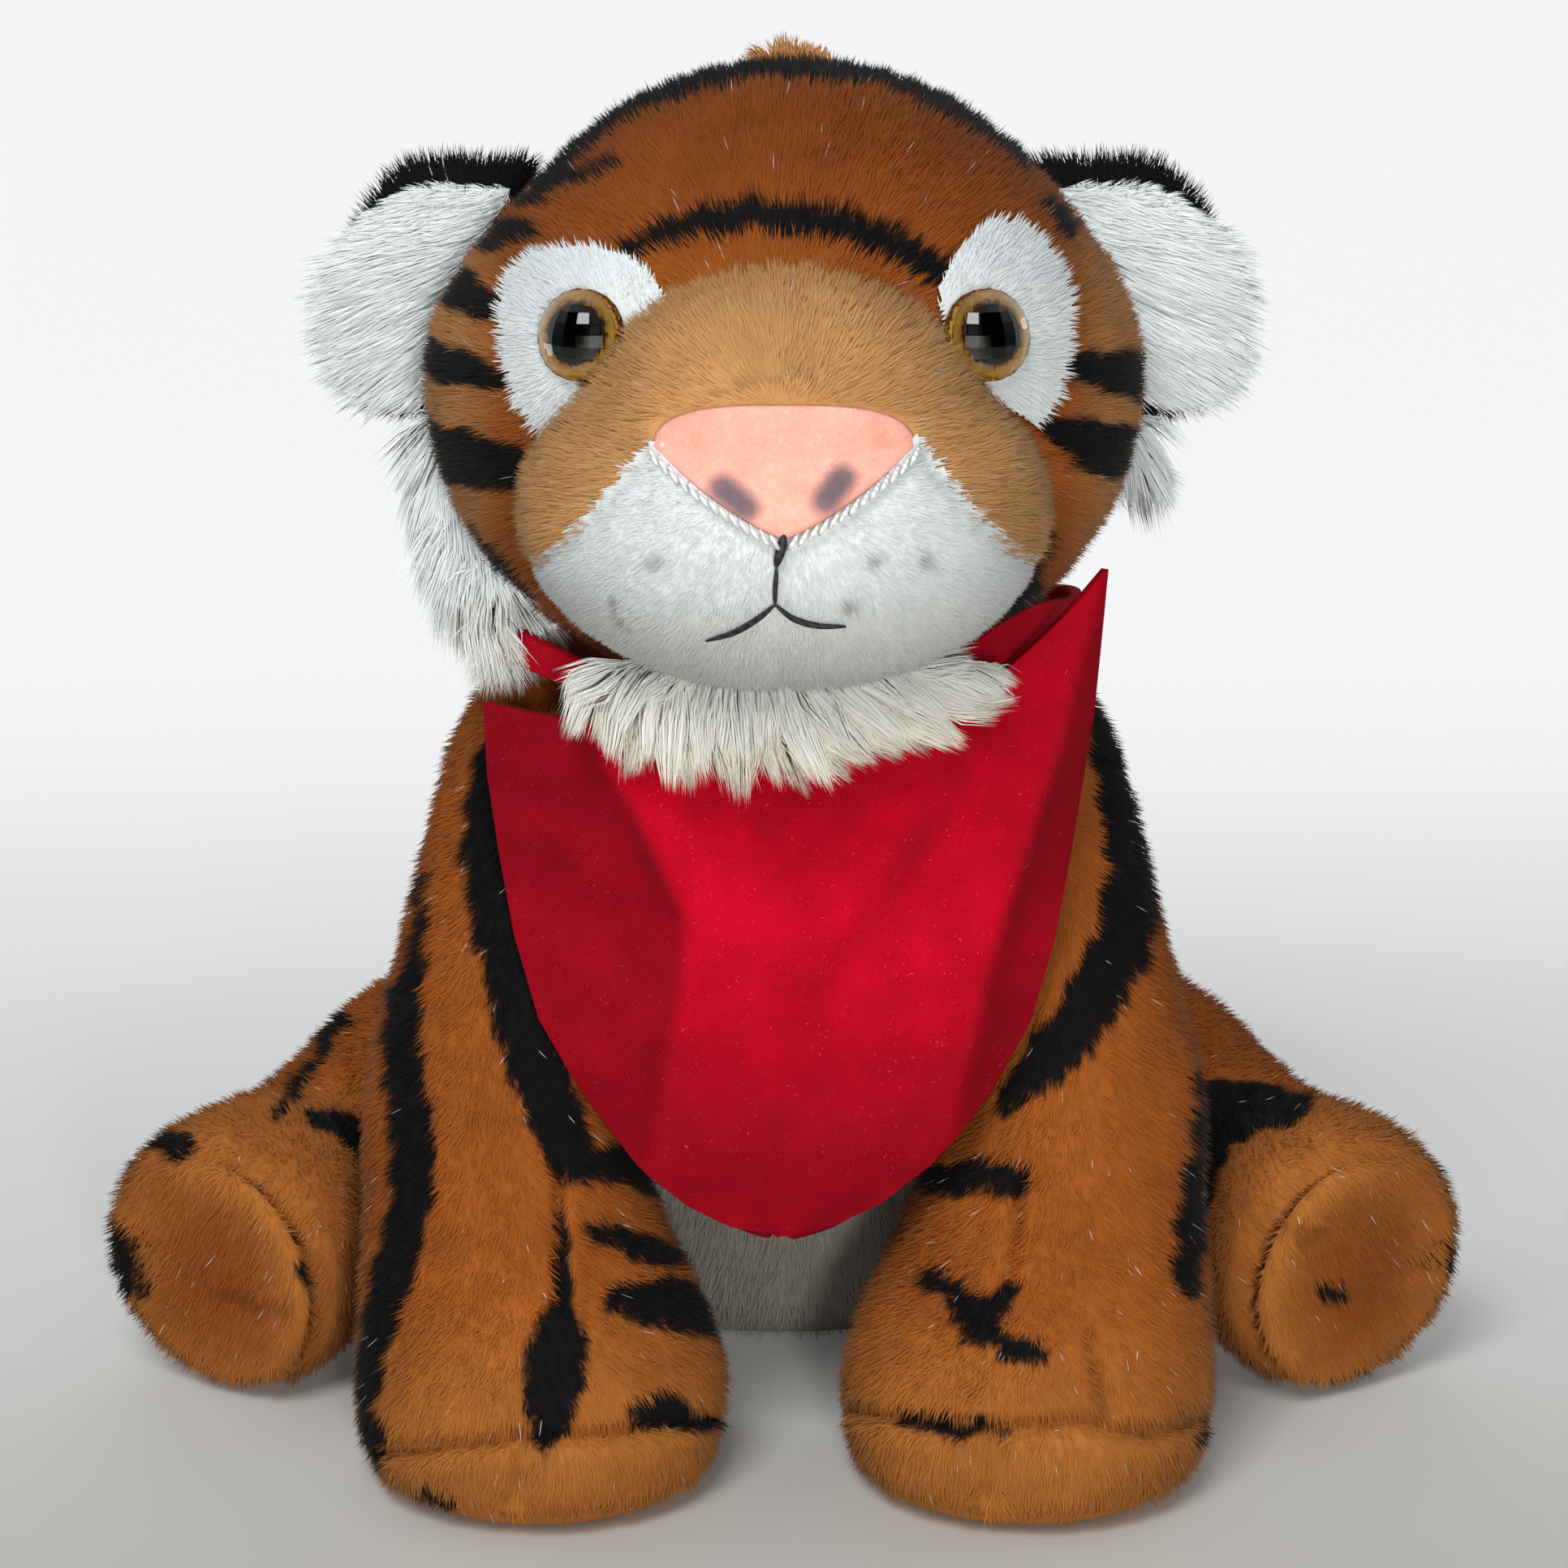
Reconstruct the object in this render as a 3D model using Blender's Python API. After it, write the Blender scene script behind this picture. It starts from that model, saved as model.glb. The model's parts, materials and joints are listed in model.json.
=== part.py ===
"""Sitting plush tiger, about 19 cm tall, as separate sewn and moulded pieces.

Metres, +Z up, the tiger faces -Y. The origin is the middle of its footprint on the surface it sits on.
Skins are lofted from stations that swell and taper, and each limb's root is a ball in a socket of the body.
"""
import math

import bmesh
import bpy
import numpy as np
from mathutils import Vector

# Clearances, cloth and facets
GAP = 0.0003
OVERRUN = 0.030
SKIN_WALL = 0.0018
FELT = 0.0016
GROUND_CUT = 0.0005
BALL_SIDES = 24
BALL_RINGS = 14
NECK_SIDES = 28
NECK_RINGS = 16
SKULL_SIDES = 28
SKULL_RINGS = 16
TORSO_SIDES = 24
TORSO_RINGS = 14
INNER_SIDES = 20
INNER_RINGS = 12
LIMB_SIDES = 18

# Torso: stations are (height, middle to the back, half width, half depth), as shares of the sizes here
TORSO_HEIGHT = 0.105
TORSO_HALF_WIDTH = 0.045
TORSO_HALF_DEPTH = 0.0295
TORSO_SEAT_BACK = 0.027
TORSO_STATION_SHARES = (
    (-0.010, 1.00, 0.66, 0.66),
    (0.030, 1.00, 0.86, 0.86),
    (0.125, 0.98, 0.98, 0.96),
    (0.275, 0.89, 1.00, 0.99),
    (0.420, 0.68, 0.91, 1.00),
    (0.565, 0.38, 0.80, 1.02),
    (0.690, 0.10, 0.72, 1.03),
    (0.820, -0.12, 0.67, 1.00),
    (0.910, -0.16, 0.61, 0.90),
    (0.970, -0.12, 0.52, 0.75),
    (1.000, -0.06, 0.40, 0.54),
)
BELLY_HALF_WIDTH = 0.021
BELLY_BOTTOM = 0.007
BELLY_TOP = 0.060
BELLY_CLOTH = 0.0010
SEAT_BAG_BACK = 0.027
SEAT_BAG_HALF_WIDTH = 0.018
SEAT_BAG_HALF_DEPTH = 0.017
SEAT_BAG_HALF_HEIGHT = 0.009
SEAT_BAG_BOTTOM = 0.0045

# Head: an ellipsoid skull on a ball that turns and nods in the torso's cup
NECK_PIVOT_HEIGHT = 0.130
SKULL_RISE = 0.016
SKULL_HEIGHT = NECK_PIVOT_HEIGHT + SKULL_RISE
SKULL_FORWARD = 0.014
SKULL_HALF_WIDTH = 0.048
SKULL_HALF_DEPTH = 0.040
SKULL_HALF_HEIGHT = 0.0425
SKULL_BASE_DROP = 0.0375
SKULL_BASE = SKULL_HEIGHT - SKULL_BASE_DROP
NECK_BALL_RADIUS = 0.030
NECK_OPENING_RADIUS = 0.010
NECK_PLUG_RADIUS = 0.014
NECK_PLUG_BOTTOM = 0.092

# Snout: a wide muzzle and the bridge that runs up between the eyes
MUZZLE_FORWARD = 0.047
MUZZLE_DROP = 0.0105
MUZZLE_HEIGHT = SKULL_HEIGHT - MUZZLE_DROP
MUZZLE_HALF_WIDTH = 0.034
MUZZLE_HALF_DEPTH = 0.032
MUZZLE_HALF_HEIGHT = 0.0225
BRIDGE_FORWARD = 0.046
BRIDGE_RISE = 0.0025
BRIDGE_HEIGHT = SKULL_HEIGHT + BRIDGE_RISE
BRIDGE_HALF_WIDTH = 0.025
BRIDGE_HALF_DEPTH = 0.028
BRIDGE_HALF_HEIGHT = 0.0190
NOSE_HALF_WIDTH = 0.0165
NOSE_TIP_DROP = 0.006
NOSE_TIP_HEIGHT = SKULL_HEIGHT - NOSE_TIP_DROP
NOSE_CORNER_RISE = 0.010
NOSE_CROWN_RISE = 0.0165
CHEEK_SEAM_DROP = 0.026
CHEEK_SEAM_OUT = 0.038

# Eyes: safety eyes whose posts pass the white patches and lock behind the skin
EYE_OUT = 0.025
EYE_RISE = 0.0120
EYE_RADIUS = 0.0060
EYE_FLANGE = 0.0014
EYE_DOME_RISE = 0.0032
EYE_RIM = 0.0002
EYE_POST_RADIUS = 0.0020
EYE_POST_LENGTH = 0.0110
WASHER_RADIUS = 0.0065
WASHER_THICKNESS = 0.0016
WASHER_DEPTH = 0.0040
PATCH_CLOTH = 0.0012
PATCH_INNER = 0.0120
PATCH_OUTER = 0.0110
PATCH_UP = 0.0115
PATCH_DOWN = 0.0150

# Ruffs and ears
CHIN_RUFF_FORWARD = 0.055
CHIN_RUFF_OUT = 0.026
CHIN_RUFF_BACK = 0.0095
CHIN_RUFF_DROP = 0.0355
CHIN_RUFF_HEIGHT = SKULL_HEIGHT - CHIN_RUFF_DROP
CHIN_RUFF_HALF_HEIGHT = 0.0065
CHIN_RUFF_HALF_THICKNESS = 0.0022
CHEEK_RUFF_OUT = 0.045
CHEEK_RUFF_BACK = 0.003
CHEEK_RUFF_DROP = 0.017
CHEEK_RUFF_HEIGHT = SKULL_HEIGHT - CHEEK_RUFF_DROP
CHEEK_RUFF_HALF_WIDTH = 0.008
CHEEK_RUFF_HALF_DEPTH = 0.0035
CHEEK_RUFF_HALF_HEIGHT = 0.0075
EAR_ROOT_OUT = 0.0436
EAR_ROOT_BACK = 0.005
EAR_ROOT_RISE = 0.008
EAR_ROOT_HEIGHT = SKULL_HEIGHT + EAR_ROOT_RISE
EAR_LEAN = math.radians(10)
EAR_ROOT_RADIUS = 0.0028
EAR_ROOT_HALF_LENGTH = 0.0125
EAR_REACH = 0.0145
EAR_HALF_HEIGHT = 0.0170
EAR_CLOTH = 0.0024
EAR_ROUNDING = 0.5

# Forelegs: a shoulder ball, then level stations (height, out, forward, half width, half depth)
SHOULDER_OUT = 0.036
SHOULDER_FORWARD = 0.002
SHOULDER_HEIGHT = 0.092
SHOULDER_RADIUS = 0.015
PAW_HALF_WIDTH = 0.0248
PAW_HALF_DEPTH = 0.0255
PAW_OUT = 0.033
PAW_FORWARD = 0.0455
FORELEG_STATION_SHARES = (
    (-0.02, 0.99, 0.98, 0.76, 0.72),
    (0.05, 1.00, 1.00, 0.95, 0.93),
    (0.14, 1.00, 1.00, 1.00, 1.00),
    (0.24, 1.01, 0.97, 0.99, 0.93),
    (0.38, 1.06, 0.78, 0.90, 0.78),
    (0.54, 1.15, 0.58, 0.78, 0.71),
    (0.71, 1.19, 0.38, 0.64, 0.68),
    (0.86, 1.16, 0.19, 0.58, 0.65),
    (0.97, 1.10, 0.06, 0.57, 0.58),
    (1.03, 1.09, 0.04, 0.40, 0.40),
)
SOLE_HALF_WIDTH = 0.0150
SOLE_HALF_DEPTH = 0.0160
SOLE_CLOTH = 0.0014
PAW_BAG_HALF_WIDTH = 0.0120
PAW_BAG_HALF_DEPTH = 0.0130
PAW_BAG_HEIGHT = 0.0120

# Hind legs: a thigh ball at the hip, then stations along the leg to its sole
HIP_OUT = 0.046
HIP_BACK = 0.028
THIGH_RADIUS = 0.025
FOOT_OUT = 0.0795
FOOT_FORWARD = 0.0175
FOOT_HEIGHT = 0.0190
FOOT_HALF_WIDTH = 0.0193
FOOT_HALF_HEIGHT = 0.0198
HIND_STATION_SHARES = (
    (0.10, 0.90, 0.96),
    (0.32, 0.84, 0.90),
    (0.52, 0.84, 0.86),
    (0.68, 0.95, 0.95),
    (0.82, 1.00, 1.00),
    (0.94, 0.98, 0.98),
    (1.00, 0.86, 0.86),
)
HIND_BOW = 0.004
HIND_SOLE_RADIUS = 0.0150
HIND_SOLE_CLOTH = 0.0014

# Tail: a root ball and a tube that curls to one side behind the seat
TAIL_BACK = 0.056
TAIL_ROOT_RADIUS = 0.0080
TAIL_RADIUS = 0.0070
TAIL_END_RADIUS = 0.0060
TAIL_OUT = 0.046
TAIL_DEPTH = 0.0185
TAIL_ROUTE_SHARES = (
    (0.00, 0.00),
    (0.02, 0.42),
    (0.12, 0.80),
    (0.36, 1.00),
    (0.64, 1.00),
    (0.88, 0.88),
    (1.00, 0.78),
)
TAIL_TIP_SHARE = 0.74

# Bib: a felt flap that hangs from a neckerchief band, with one corner standing up beside the cheek
BIB_TOP = 0.104
BIB_LENGTH = 0.068
BIB_HALF_WIDTH = 0.040
BIB_FORWARD = 0.042
BIB_WRAP = 0.052
BIB_LEAN = 0.007
BIB_FOLD = 0.0012
BIB_FOLD_WIDTH = 0.0060
BIB_OUTLINE_SHARES = (
    (0.00, 1.00),
    (0.15, 0.99),
    (0.30, 0.95),
    (0.45, 0.90),
    (0.60, 0.82),
    (0.74, 0.67),
    (0.86, 0.49),
    (0.94, 0.32),
    (0.985, 0.17),
    (1.00, 0.06),
)
BAND_HALF_WIDTH = 0.0405
BAND_BACK = 0.0245
BAND_SIDE_RISE = 0.0032
BAND_BACK_DROP = 0.0085
BAND_HEIGHT = 0.0050
BAND_FRONT_HEIGHT = 0.0018
BAND_CORNER_RISE = 0.0085
BAND_CORNER_FLARE = 0.0045
BAND_CORNER_ANGLE = math.radians(-15)
BAND_CORNER_AHEAD = math.radians(30)
BAND_CORNER_BEHIND = math.radians(8)

COLOURS = {
    "orange_fur": (0.39, 0.13, 0.025),
    "tan_fur": (0.58, 0.31, 0.10),
    "white_fur": (0.75, 0.79, 0.82),
    "cream_fur": (0.79, 0.74, 0.58),
    "black_fur": (0.010, 0.010, 0.012),
    "sole_fur": (0.45, 0.17, 0.04),
    "nose_felt": (0.96, 0.48, 0.38),
    "red_felt": (0.60, 0.0, 0.015),
    "amber_plastic": (0.42, 0.20, 0.04),
    "clear_plastic": (0.03, 0.02, 0.02),
    "washer_plastic": (0.80, 0.80, 0.78),
    "filling": (0.88, 0.88, 0.86),
    "bag_cloth": (0.72, 0.70, 0.64),
}
PLASTICS = ("amber_plastic", "clear_plastic", "washer_plastic")


def clear_scene():
    for thing in list(bpy.data.objects):
        bpy.data.objects.remove(thing, do_unlink=True)


def material(key):
    """A material of the piece's own, in the colour and roughness of its cloth or plastic."""
    found = bpy.data.materials.new(key)
    found.use_nodes = True
    surface = found.node_tree.nodes["Principled BSDF"]
    surface.inputs["Base Color"].default_value = (*COLOURS[key], 1)
    surface.inputs["Roughness"].default_value = 0.25 if key in PLASTICS else 0.9
    surface.inputs["Metallic"].default_value = 0
    return found


def solid(form, name="form"):
    """An object from a bmesh, with every face turned outward."""
    bmesh.ops.recalc_face_normals(form, faces=form.faces)
    mesh = bpy.data.meshes.new(name)
    form.to_mesh(mesh)
    form.free()
    made = bpy.data.objects.new(name, mesh)
    bpy.context.collection.objects.link(made)
    return made


def combine(target, tool, operation, spend=True):
    """Cut, join or keep what two solids share, and settle the result in the target's mesh."""
    step = target.modifiers.new(operation, "BOOLEAN")
    step.operation = operation
    step.solver = "EXACT"
    step.object = tool
    graph = bpy.context.evaluated_depsgraph_get()
    mesh = bpy.data.meshes.new_from_object(target.evaluated_get(graph))
    target.modifiers.clear()
    old = target.data
    target.data = mesh
    bpy.data.meshes.remove(old)
    if spend:
        bpy.data.objects.remove(tool, do_unlink=True)
    return target


def cut(target, tool, spend=True):
    return combine(target, tool, "DIFFERENCE", spend)


def join(target, tool):
    return combine(target, tool, "UNION")


def keep(target, tool, spend=True):
    return combine(target, tool, "INTERSECT", spend)


def finish(thing, name, key, parent=None):
    """Name a sub-part, shade it smooth, give it its material and hang it on its joint's empty."""
    thing.name = name
    thing.data.name = name
    thing.data.materials.clear()
    thing.data.materials.append(material(key))
    thing.data.shade_smooth()
    thing.data.set_sharp_from_angle(angle=math.radians(40))
    if parent is not None:
        thing.parent = parent
        thing.matrix_parent_inverse = parent.matrix_world.inverted()
    return thing


def joint_empty(name, place):
    made = bpy.data.objects.new(name, None)
    bpy.context.collection.objects.link(made)
    made.location = place
    bpy.context.view_layer.update()
    return made


def ellipsoid(centre, half_sizes, sides=BALL_SIDES, rings=BALL_RINGS):
    form = bmesh.new()
    bmesh.ops.create_uvsphere(form, u_segments=sides, v_segments=rings, radius=1)
    bmesh.ops.scale(form, vec=half_sizes, verts=form.verts)
    bmesh.ops.translate(form, vec=centre, verts=form.verts)
    return solid(form)


def ball(centre, radius, sides=BALL_SIDES, rings=BALL_RINGS):
    return ellipsoid(centre, (radius, radius, radius), sides, rings)


def drum(start, direction, radius, length, sides=20, end_radius=None):
    """A round drum or cone from its start along a direction."""
    form = bmesh.new()
    last = radius if end_radius is None else end_radius
    bmesh.ops.create_cone(form, cap_ends=True, segments=sides, radius1=radius, radius2=last, depth=length)
    bmesh.ops.translate(form, vec=(0, 0, length / 2), verts=form.verts)
    turn = Vector((0, 0, 1)).rotation_difference(direction).to_matrix()
    bmesh.ops.rotate(form, matrix=turn, verts=form.verts)
    bmesh.ops.translate(form, vec=start, verts=form.verts)
    return solid(form)


def block(low, high):
    form = bmesh.new()
    bmesh.ops.create_cube(form, size=1)
    low, high = Vector(low), Vector(high)
    bmesh.ops.scale(form, vec=high - low, verts=form.verts)
    bmesh.ops.translate(form, vec=(low + high) / 2, verts=form.verts)
    return solid(form)


def prism(outline, front, back):
    """An outline in X and Z, drawn out along Y from its front to its back."""
    form = bmesh.new()
    corners = [form.verts.new((x, front, z)) for x, z in outline]
    face = form.faces.new(corners)
    drawn = bmesh.ops.extrude_face_region(form, geom=[face])
    moved = [v for v in drawn["geom"] if isinstance(v, bmesh.types.BMVert)]
    bmesh.ops.translate(form, vec=(0, back - front, 0), verts=moved)
    return solid(form)


def inset(outline, distance):
    """The outline with each side moved inward by a distance; it runs anticlockwise seen from -Y."""
    points = np.array(outline)
    before, after = np.roll(points, 1, axis=0), np.roll(points, -1, axis=0)
    into, out = points - before, after - points
    into /= np.linalg.norm(into, axis=1)[:, None]
    out /= np.linalg.norm(out, axis=1)[:, None]
    left_in, left_out = into[:, ::-1] * (-1, 1), out[:, ::-1] * (-1, 1)
    middle = left_in + left_out
    middle /= np.linalg.norm(middle, axis=1)[:, None]
    reach = distance / np.sum(middle * left_out, axis=1)
    return [tuple(p) for p in points + middle * reach[:, None]]


def eased(rows, count):
    """Rows of stations read from a smooth curve that passes through every one of them."""
    rows = np.array(rows, dtype=float)
    slopes = np.gradient(rows, axis=0)
    place = np.linspace(0, len(rows) - 1, count)
    low = np.minimum(place.astype(int), len(rows) - 2)
    t = (place - low)[:, None]
    start, end = rows[low], rows[low + 1]
    rise = (2 * t**3 - 3 * t**2 + 1) * start + (3 * t**2 - 2 * t**3) * end
    return rise + (t**3 - 2 * t**2 + t) * slopes[low] + (t**3 - t**2) * slopes[low + 1]


def loft(middles, halves, level=False, sides=LIMB_SIDES):
    """A closed skin through oval rings: level ones, or square to the path that their middles follow."""
    middles = np.array(middles, dtype=float)
    halves = np.array(halves, dtype=float)
    ways = np.gradient(middles, axis=0)
    form = bmesh.new()
    turns = np.arange(sides) * 2 * math.pi / sides
    rings = []
    for middle, (across, up), way in zip(middles, halves, ways):
        if level:
            side_way, up_way = Vector((1, 0, 0)), Vector((0, 1, 0))
        else:
            side_way = Vector(way).cross(Vector((0, 0, 1))).normalized()
            up_way = side_way.cross(Vector(way)).normalized()
        ring = [
            form.verts.new(Vector(middle) + side_way * across * math.cos(a) + up_way * up * math.sin(a))
            for a in turns
        ]
        rings.append(ring)
    for first, second in zip(rings, rings[1:]):
        for i in range(sides):
            j = (i + 1) % sides
            form.faces.new((first[i], first[j], second[j], second[i]))
    form.faces.new(rings[0][::-1])
    form.faces.new(rings[-1])
    return solid(form)


def ground_cut(thing):
    """Cut a form flat where it sits, so that it stands on a face and not on a point."""
    low = (-OVERRUN * 4, -OVERRUN * 4, -OVERRUN)
    high = (OVERRUN * 4, OVERRUN * 4, 0)
    return cut(thing, block(low, high))


# Torso and what it holds


def torso_form(grow=0, sides=TORSO_SIDES, rings=TORSO_RINGS):
    rows = []
    for height, back, wide, deep in TORSO_STATION_SHARES:
        rows.append(
            (
                height * TORSO_HEIGHT,
                back * TORSO_SEAT_BACK,
                wide * TORSO_HALF_WIDTH + grow,
                deep * TORSO_HALF_DEPTH + grow,
            )
        )
    rows = eased(rows, rings)
    rows[-1, 0] += grow
    return loft([(0, y, z) for z, y, _, _ in rows], rows[:, 2:], level=True, sides=sides)


def torso_inside(inset_by):
    """The room inside the skin, raised off the seat; its plainer facets are shared with the filling."""
    room = torso_form(-inset_by, INNER_SIDES, INNER_RINGS)
    low = (-OVERRUN * 3, -OVERRUN * 3, -OVERRUN)
    return cut(room, block(low, (OVERRUN * 3, OVERRUN * 3, inset_by)))


def shoulder(side):
    return Vector((side * SHOULDER_OUT, -SHOULDER_FORWARD, SHOULDER_HEIGHT))


def hip(side):
    return Vector((side * HIP_OUT, HIP_BACK, THIGH_RADIUS - GROUND_CUT))


def tail_root():
    return Vector((0, TAIL_BACK, TAIL_ROOT_RADIUS - GROUND_CUT))


def neck_pivot():
    return Vector((0, 0, NECK_PIVOT_HEIGHT))


def neck_ball(grow=0, sides=NECK_SIDES, rings=NECK_RINGS):
    return ball(neck_pivot(), NECK_BALL_RADIUS + grow, sides, rings)


def cut_sockets(thing, grow):
    """The sockets that the head, the limbs and the tail turn in."""
    cut(thing, neck_ball(grow))
    cut(thing, ball(tail_root(), TAIL_ROOT_RADIUS + grow, INNER_SIDES, INNER_RINGS))
    for side in (-1, 1):
        cut(thing, ball(shoulder(side), SHOULDER_RADIUS + grow))
        cut(thing, ball(hip(side), THIGH_RADIUS + grow))
    return thing


def seat_bag(grow=0):
    centre = (0, SEAT_BAG_BACK, SEAT_BAG_BOTTOM + SEAT_BAG_HALF_HEIGHT)
    halves = (SEAT_BAG_HALF_WIDTH + grow, SEAT_BAG_HALF_DEPTH + grow, SEAT_BAG_HALF_HEIGHT + grow)
    return ellipsoid(centre, halves, sides=20, rings=10)


def neck_plug(grow=0):
    start = Vector((0, 0, NECK_PLUG_BOTTOM - grow))
    return drum(start, Vector((0, 0, 1)), NECK_PLUG_RADIUS + grow, OVERRUN / 2)


def make_torso():
    """The skin is a thin shell that the neck, shoulder, hip and tail openings pierce."""
    skin = ground_cut(torso_form())
    cut(skin, torso_inside(SKIN_WALL))
    cut(skin, neck_plug(GAP))
    cut_sockets(skin, GAP)
    finish(skin, "torso_skin", "orange_fur")

    filling = torso_inside(SKIN_WALL + GAP)
    cut(filling, neck_plug(GAP))
    cut_sockets(filling, GAP)
    cut(filling, seat_bag(GAP))
    throat = Vector((0, SEAT_BAG_BACK, 0))
    depth = SEAT_BAG_BOTTOM + SEAT_BAG_HALF_HEIGHT
    cut(filling, drum(throat, Vector((0, 0, 1)), SEAT_BAG_HALF_WIDTH / 2, depth))
    finish(filling, "torso_filling", "filling")
    finish(seat_bag(), "seat_bean_bag", "bag_cloth")

    outline = [
        (-BELLY_HALF_WIDTH, BELLY_BOTTOM),
        (BELLY_HALF_WIDTH, BELLY_BOTTOM),
        (BELLY_HALF_WIDTH, BELLY_TOP - BELLY_HALF_WIDTH / 2),
        (BELLY_HALF_WIDTH / 2, BELLY_TOP),
        (-BELLY_HALF_WIDTH / 2, BELLY_TOP),
        (-BELLY_HALF_WIDTH, BELLY_TOP - BELLY_HALF_WIDTH / 2),
    ]
    belly = torso_form(GAP + BELLY_CLOTH)
    keep(belly, prism(outline, -TORSO_HALF_WIDTH, TORSO_SEAT_BACK / 2))
    cut(belly, torso_form(GAP))
    for side in (-1, 1):
        cut(belly, ball(hip(side), THIGH_RADIUS + GAP))
    finish(belly, "belly_panel", "white_fur")

    plug = neck_plug()
    cut(plug, neck_ball(GAP))
    finish(plug, "neck_plug", "filling", joint_empty("head_turn_axis", neck_pivot()))


# Head


def skull(grow=0, sides=SKULL_SIDES, rings=SKULL_RINGS):
    centre = (0, -SKULL_FORWARD, SKULL_HEIGHT)
    halves = (SKULL_HALF_WIDTH + grow, SKULL_HALF_DEPTH + grow, SKULL_HALF_HEIGHT + grow)
    low = (-OVERRUN * 3, -OVERRUN * 3, 0)
    base = block(low, (OVERRUN * 3, OVERRUN * 3, SKULL_BASE - grow))
    return cut(ellipsoid(centre, halves, sides, rings), base)


def head_form(grow=0):
    return join(skull(grow), neck_ball(grow))


def head_inside(inset_by):
    """The room inside the head's skin, whose plainer facets are shared with the filling."""
    return join(skull(-inset_by, INNER_SIDES, INNER_RINGS), neck_ball(-inset_by, INNER_SIDES, INNER_RINGS))


def snout_form(grow=0):
    muzzle = ellipsoid(
        (0, -MUZZLE_FORWARD, MUZZLE_HEIGHT),
        (MUZZLE_HALF_WIDTH + grow, MUZZLE_HALF_DEPTH + grow, MUZZLE_HALF_HEIGHT + grow),
    )
    bridge = ellipsoid(
        (0, -BRIDGE_FORWARD, BRIDGE_HEIGHT),
        (BRIDGE_HALF_WIDTH + grow, BRIDGE_HALF_DEPTH + grow, BRIDGE_HALF_HEIGHT + grow),
    )
    return join(muzzle, bridge)


def skull_point(out, height):
    """The point of the skull's front at a place seen from the front, and the way it faces."""
    across = out / SKULL_HALF_WIDTH
    up = (height - SKULL_HEIGHT) / SKULL_HALF_HEIGHT
    forward = math.sqrt(1 - across**2 - up**2)
    place = Vector((out, -SKULL_FORWARD - SKULL_HALF_DEPTH * forward, height))
    facing = Vector((across / SKULL_HALF_WIDTH, -forward / SKULL_HALF_DEPTH, up / SKULL_HALF_HEIGHT))
    return place, facing.normalized()


def eye_stem(side, grow=0):
    """The post of a safety eye with its washer, or the way that they need through the head."""
    place, facing = skull_point(side * EYE_OUT, SKULL_HEIGHT + EYE_RISE)
    top = PATCH_CLOTH + GAP * 2 + EYE_FLANGE / 2
    post = drum(place + facing * top, -facing, EYE_POST_RADIUS + grow, EYE_POST_LENGTH + top + grow, 12)
    return post


def washer_disc(side):
    place, facing = skull_point(side * EYE_OUT, SKULL_HEIGHT + EYE_RISE)
    return drum(place - facing * WASHER_DEPTH, -facing, WASHER_RADIUS, WASHER_THICKNESS)


def washer_room(side):
    """The way in the filling, from the skin inward, that a washer is pushed down."""
    place, facing = skull_point(side * EYE_OUT, SKULL_HEIGHT + EYE_RISE)
    return drum(place, -facing, WASHER_RADIUS + GAP, WASHER_DEPTH + WASHER_THICKNESS + GAP)


def ear_axis(side):
    return Vector((-side * math.sin(EAR_LEAN), 0, math.cos(EAR_LEAN)))


def ear_root(side):
    return Vector((side * EAR_ROOT_OUT, EAR_ROOT_BACK, EAR_ROOT_HEIGHT))


def ear_roll(side, grow=0):
    start = ear_root(side) - ear_axis(side) * (EAR_ROOT_HALF_LENGTH + grow)
    return drum(start, ear_axis(side), EAR_ROOT_RADIUS + grow, (EAR_ROOT_HALF_LENGTH + grow) * 2, 16)


def nose_crown():
    """The shallow arch over the nose, from its right corner to its left one."""
    points = []
    steps = 8
    for i in range(steps + 1):
        angle = math.pi * i / steps
        rise = NOSE_CORNER_RISE + (NOSE_CROWN_RISE - NOSE_CORNER_RISE) * math.sin(angle)
        points.append((NOSE_HALF_WIDTH * math.cos(angle), NOSE_TIP_HEIGHT + rise))
    return points


def nose_outline():
    """A rounded triangle with its tip down."""
    return [(0, NOSE_TIP_HEIGHT), *nose_crown()]


def white_and_nose_outline():
    """The lower seam of the tan panel: over the nose and outward down both cheeks."""
    bottom = MUZZLE_HEIGHT - MUZZLE_HALF_HEIGHT * 2
    side = NOSE_TIP_HEIGHT + NOSE_CORNER_RISE - CHEEK_SEAM_DROP
    right = [(-CHEEK_SEAM_OUT, bottom), (CHEEK_SEAM_OUT, bottom), (CHEEK_SEAM_OUT, side)]
    return [*right, *nose_crown(), (-CHEEK_SEAM_OUT, side)]


def muzzle_outline(side):
    """The white half of the muzzle: under the nose, and outward below the tan cheek seam."""
    bottom = MUZZLE_HEIGHT - MUZZLE_HALF_HEIGHT * 2
    corner = NOSE_TIP_HEIGHT + NOSE_CORNER_RISE
    points = [
        (0, bottom),
        (CHEEK_SEAM_OUT, bottom),
        (CHEEK_SEAM_OUT, corner - CHEEK_SEAM_DROP),
        (NOSE_HALF_WIDTH, corner),
        (0, NOSE_TIP_HEIGHT),
    ]
    return points if side > 0 else [(-x, z) for x, z in points[::-1]]


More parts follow.
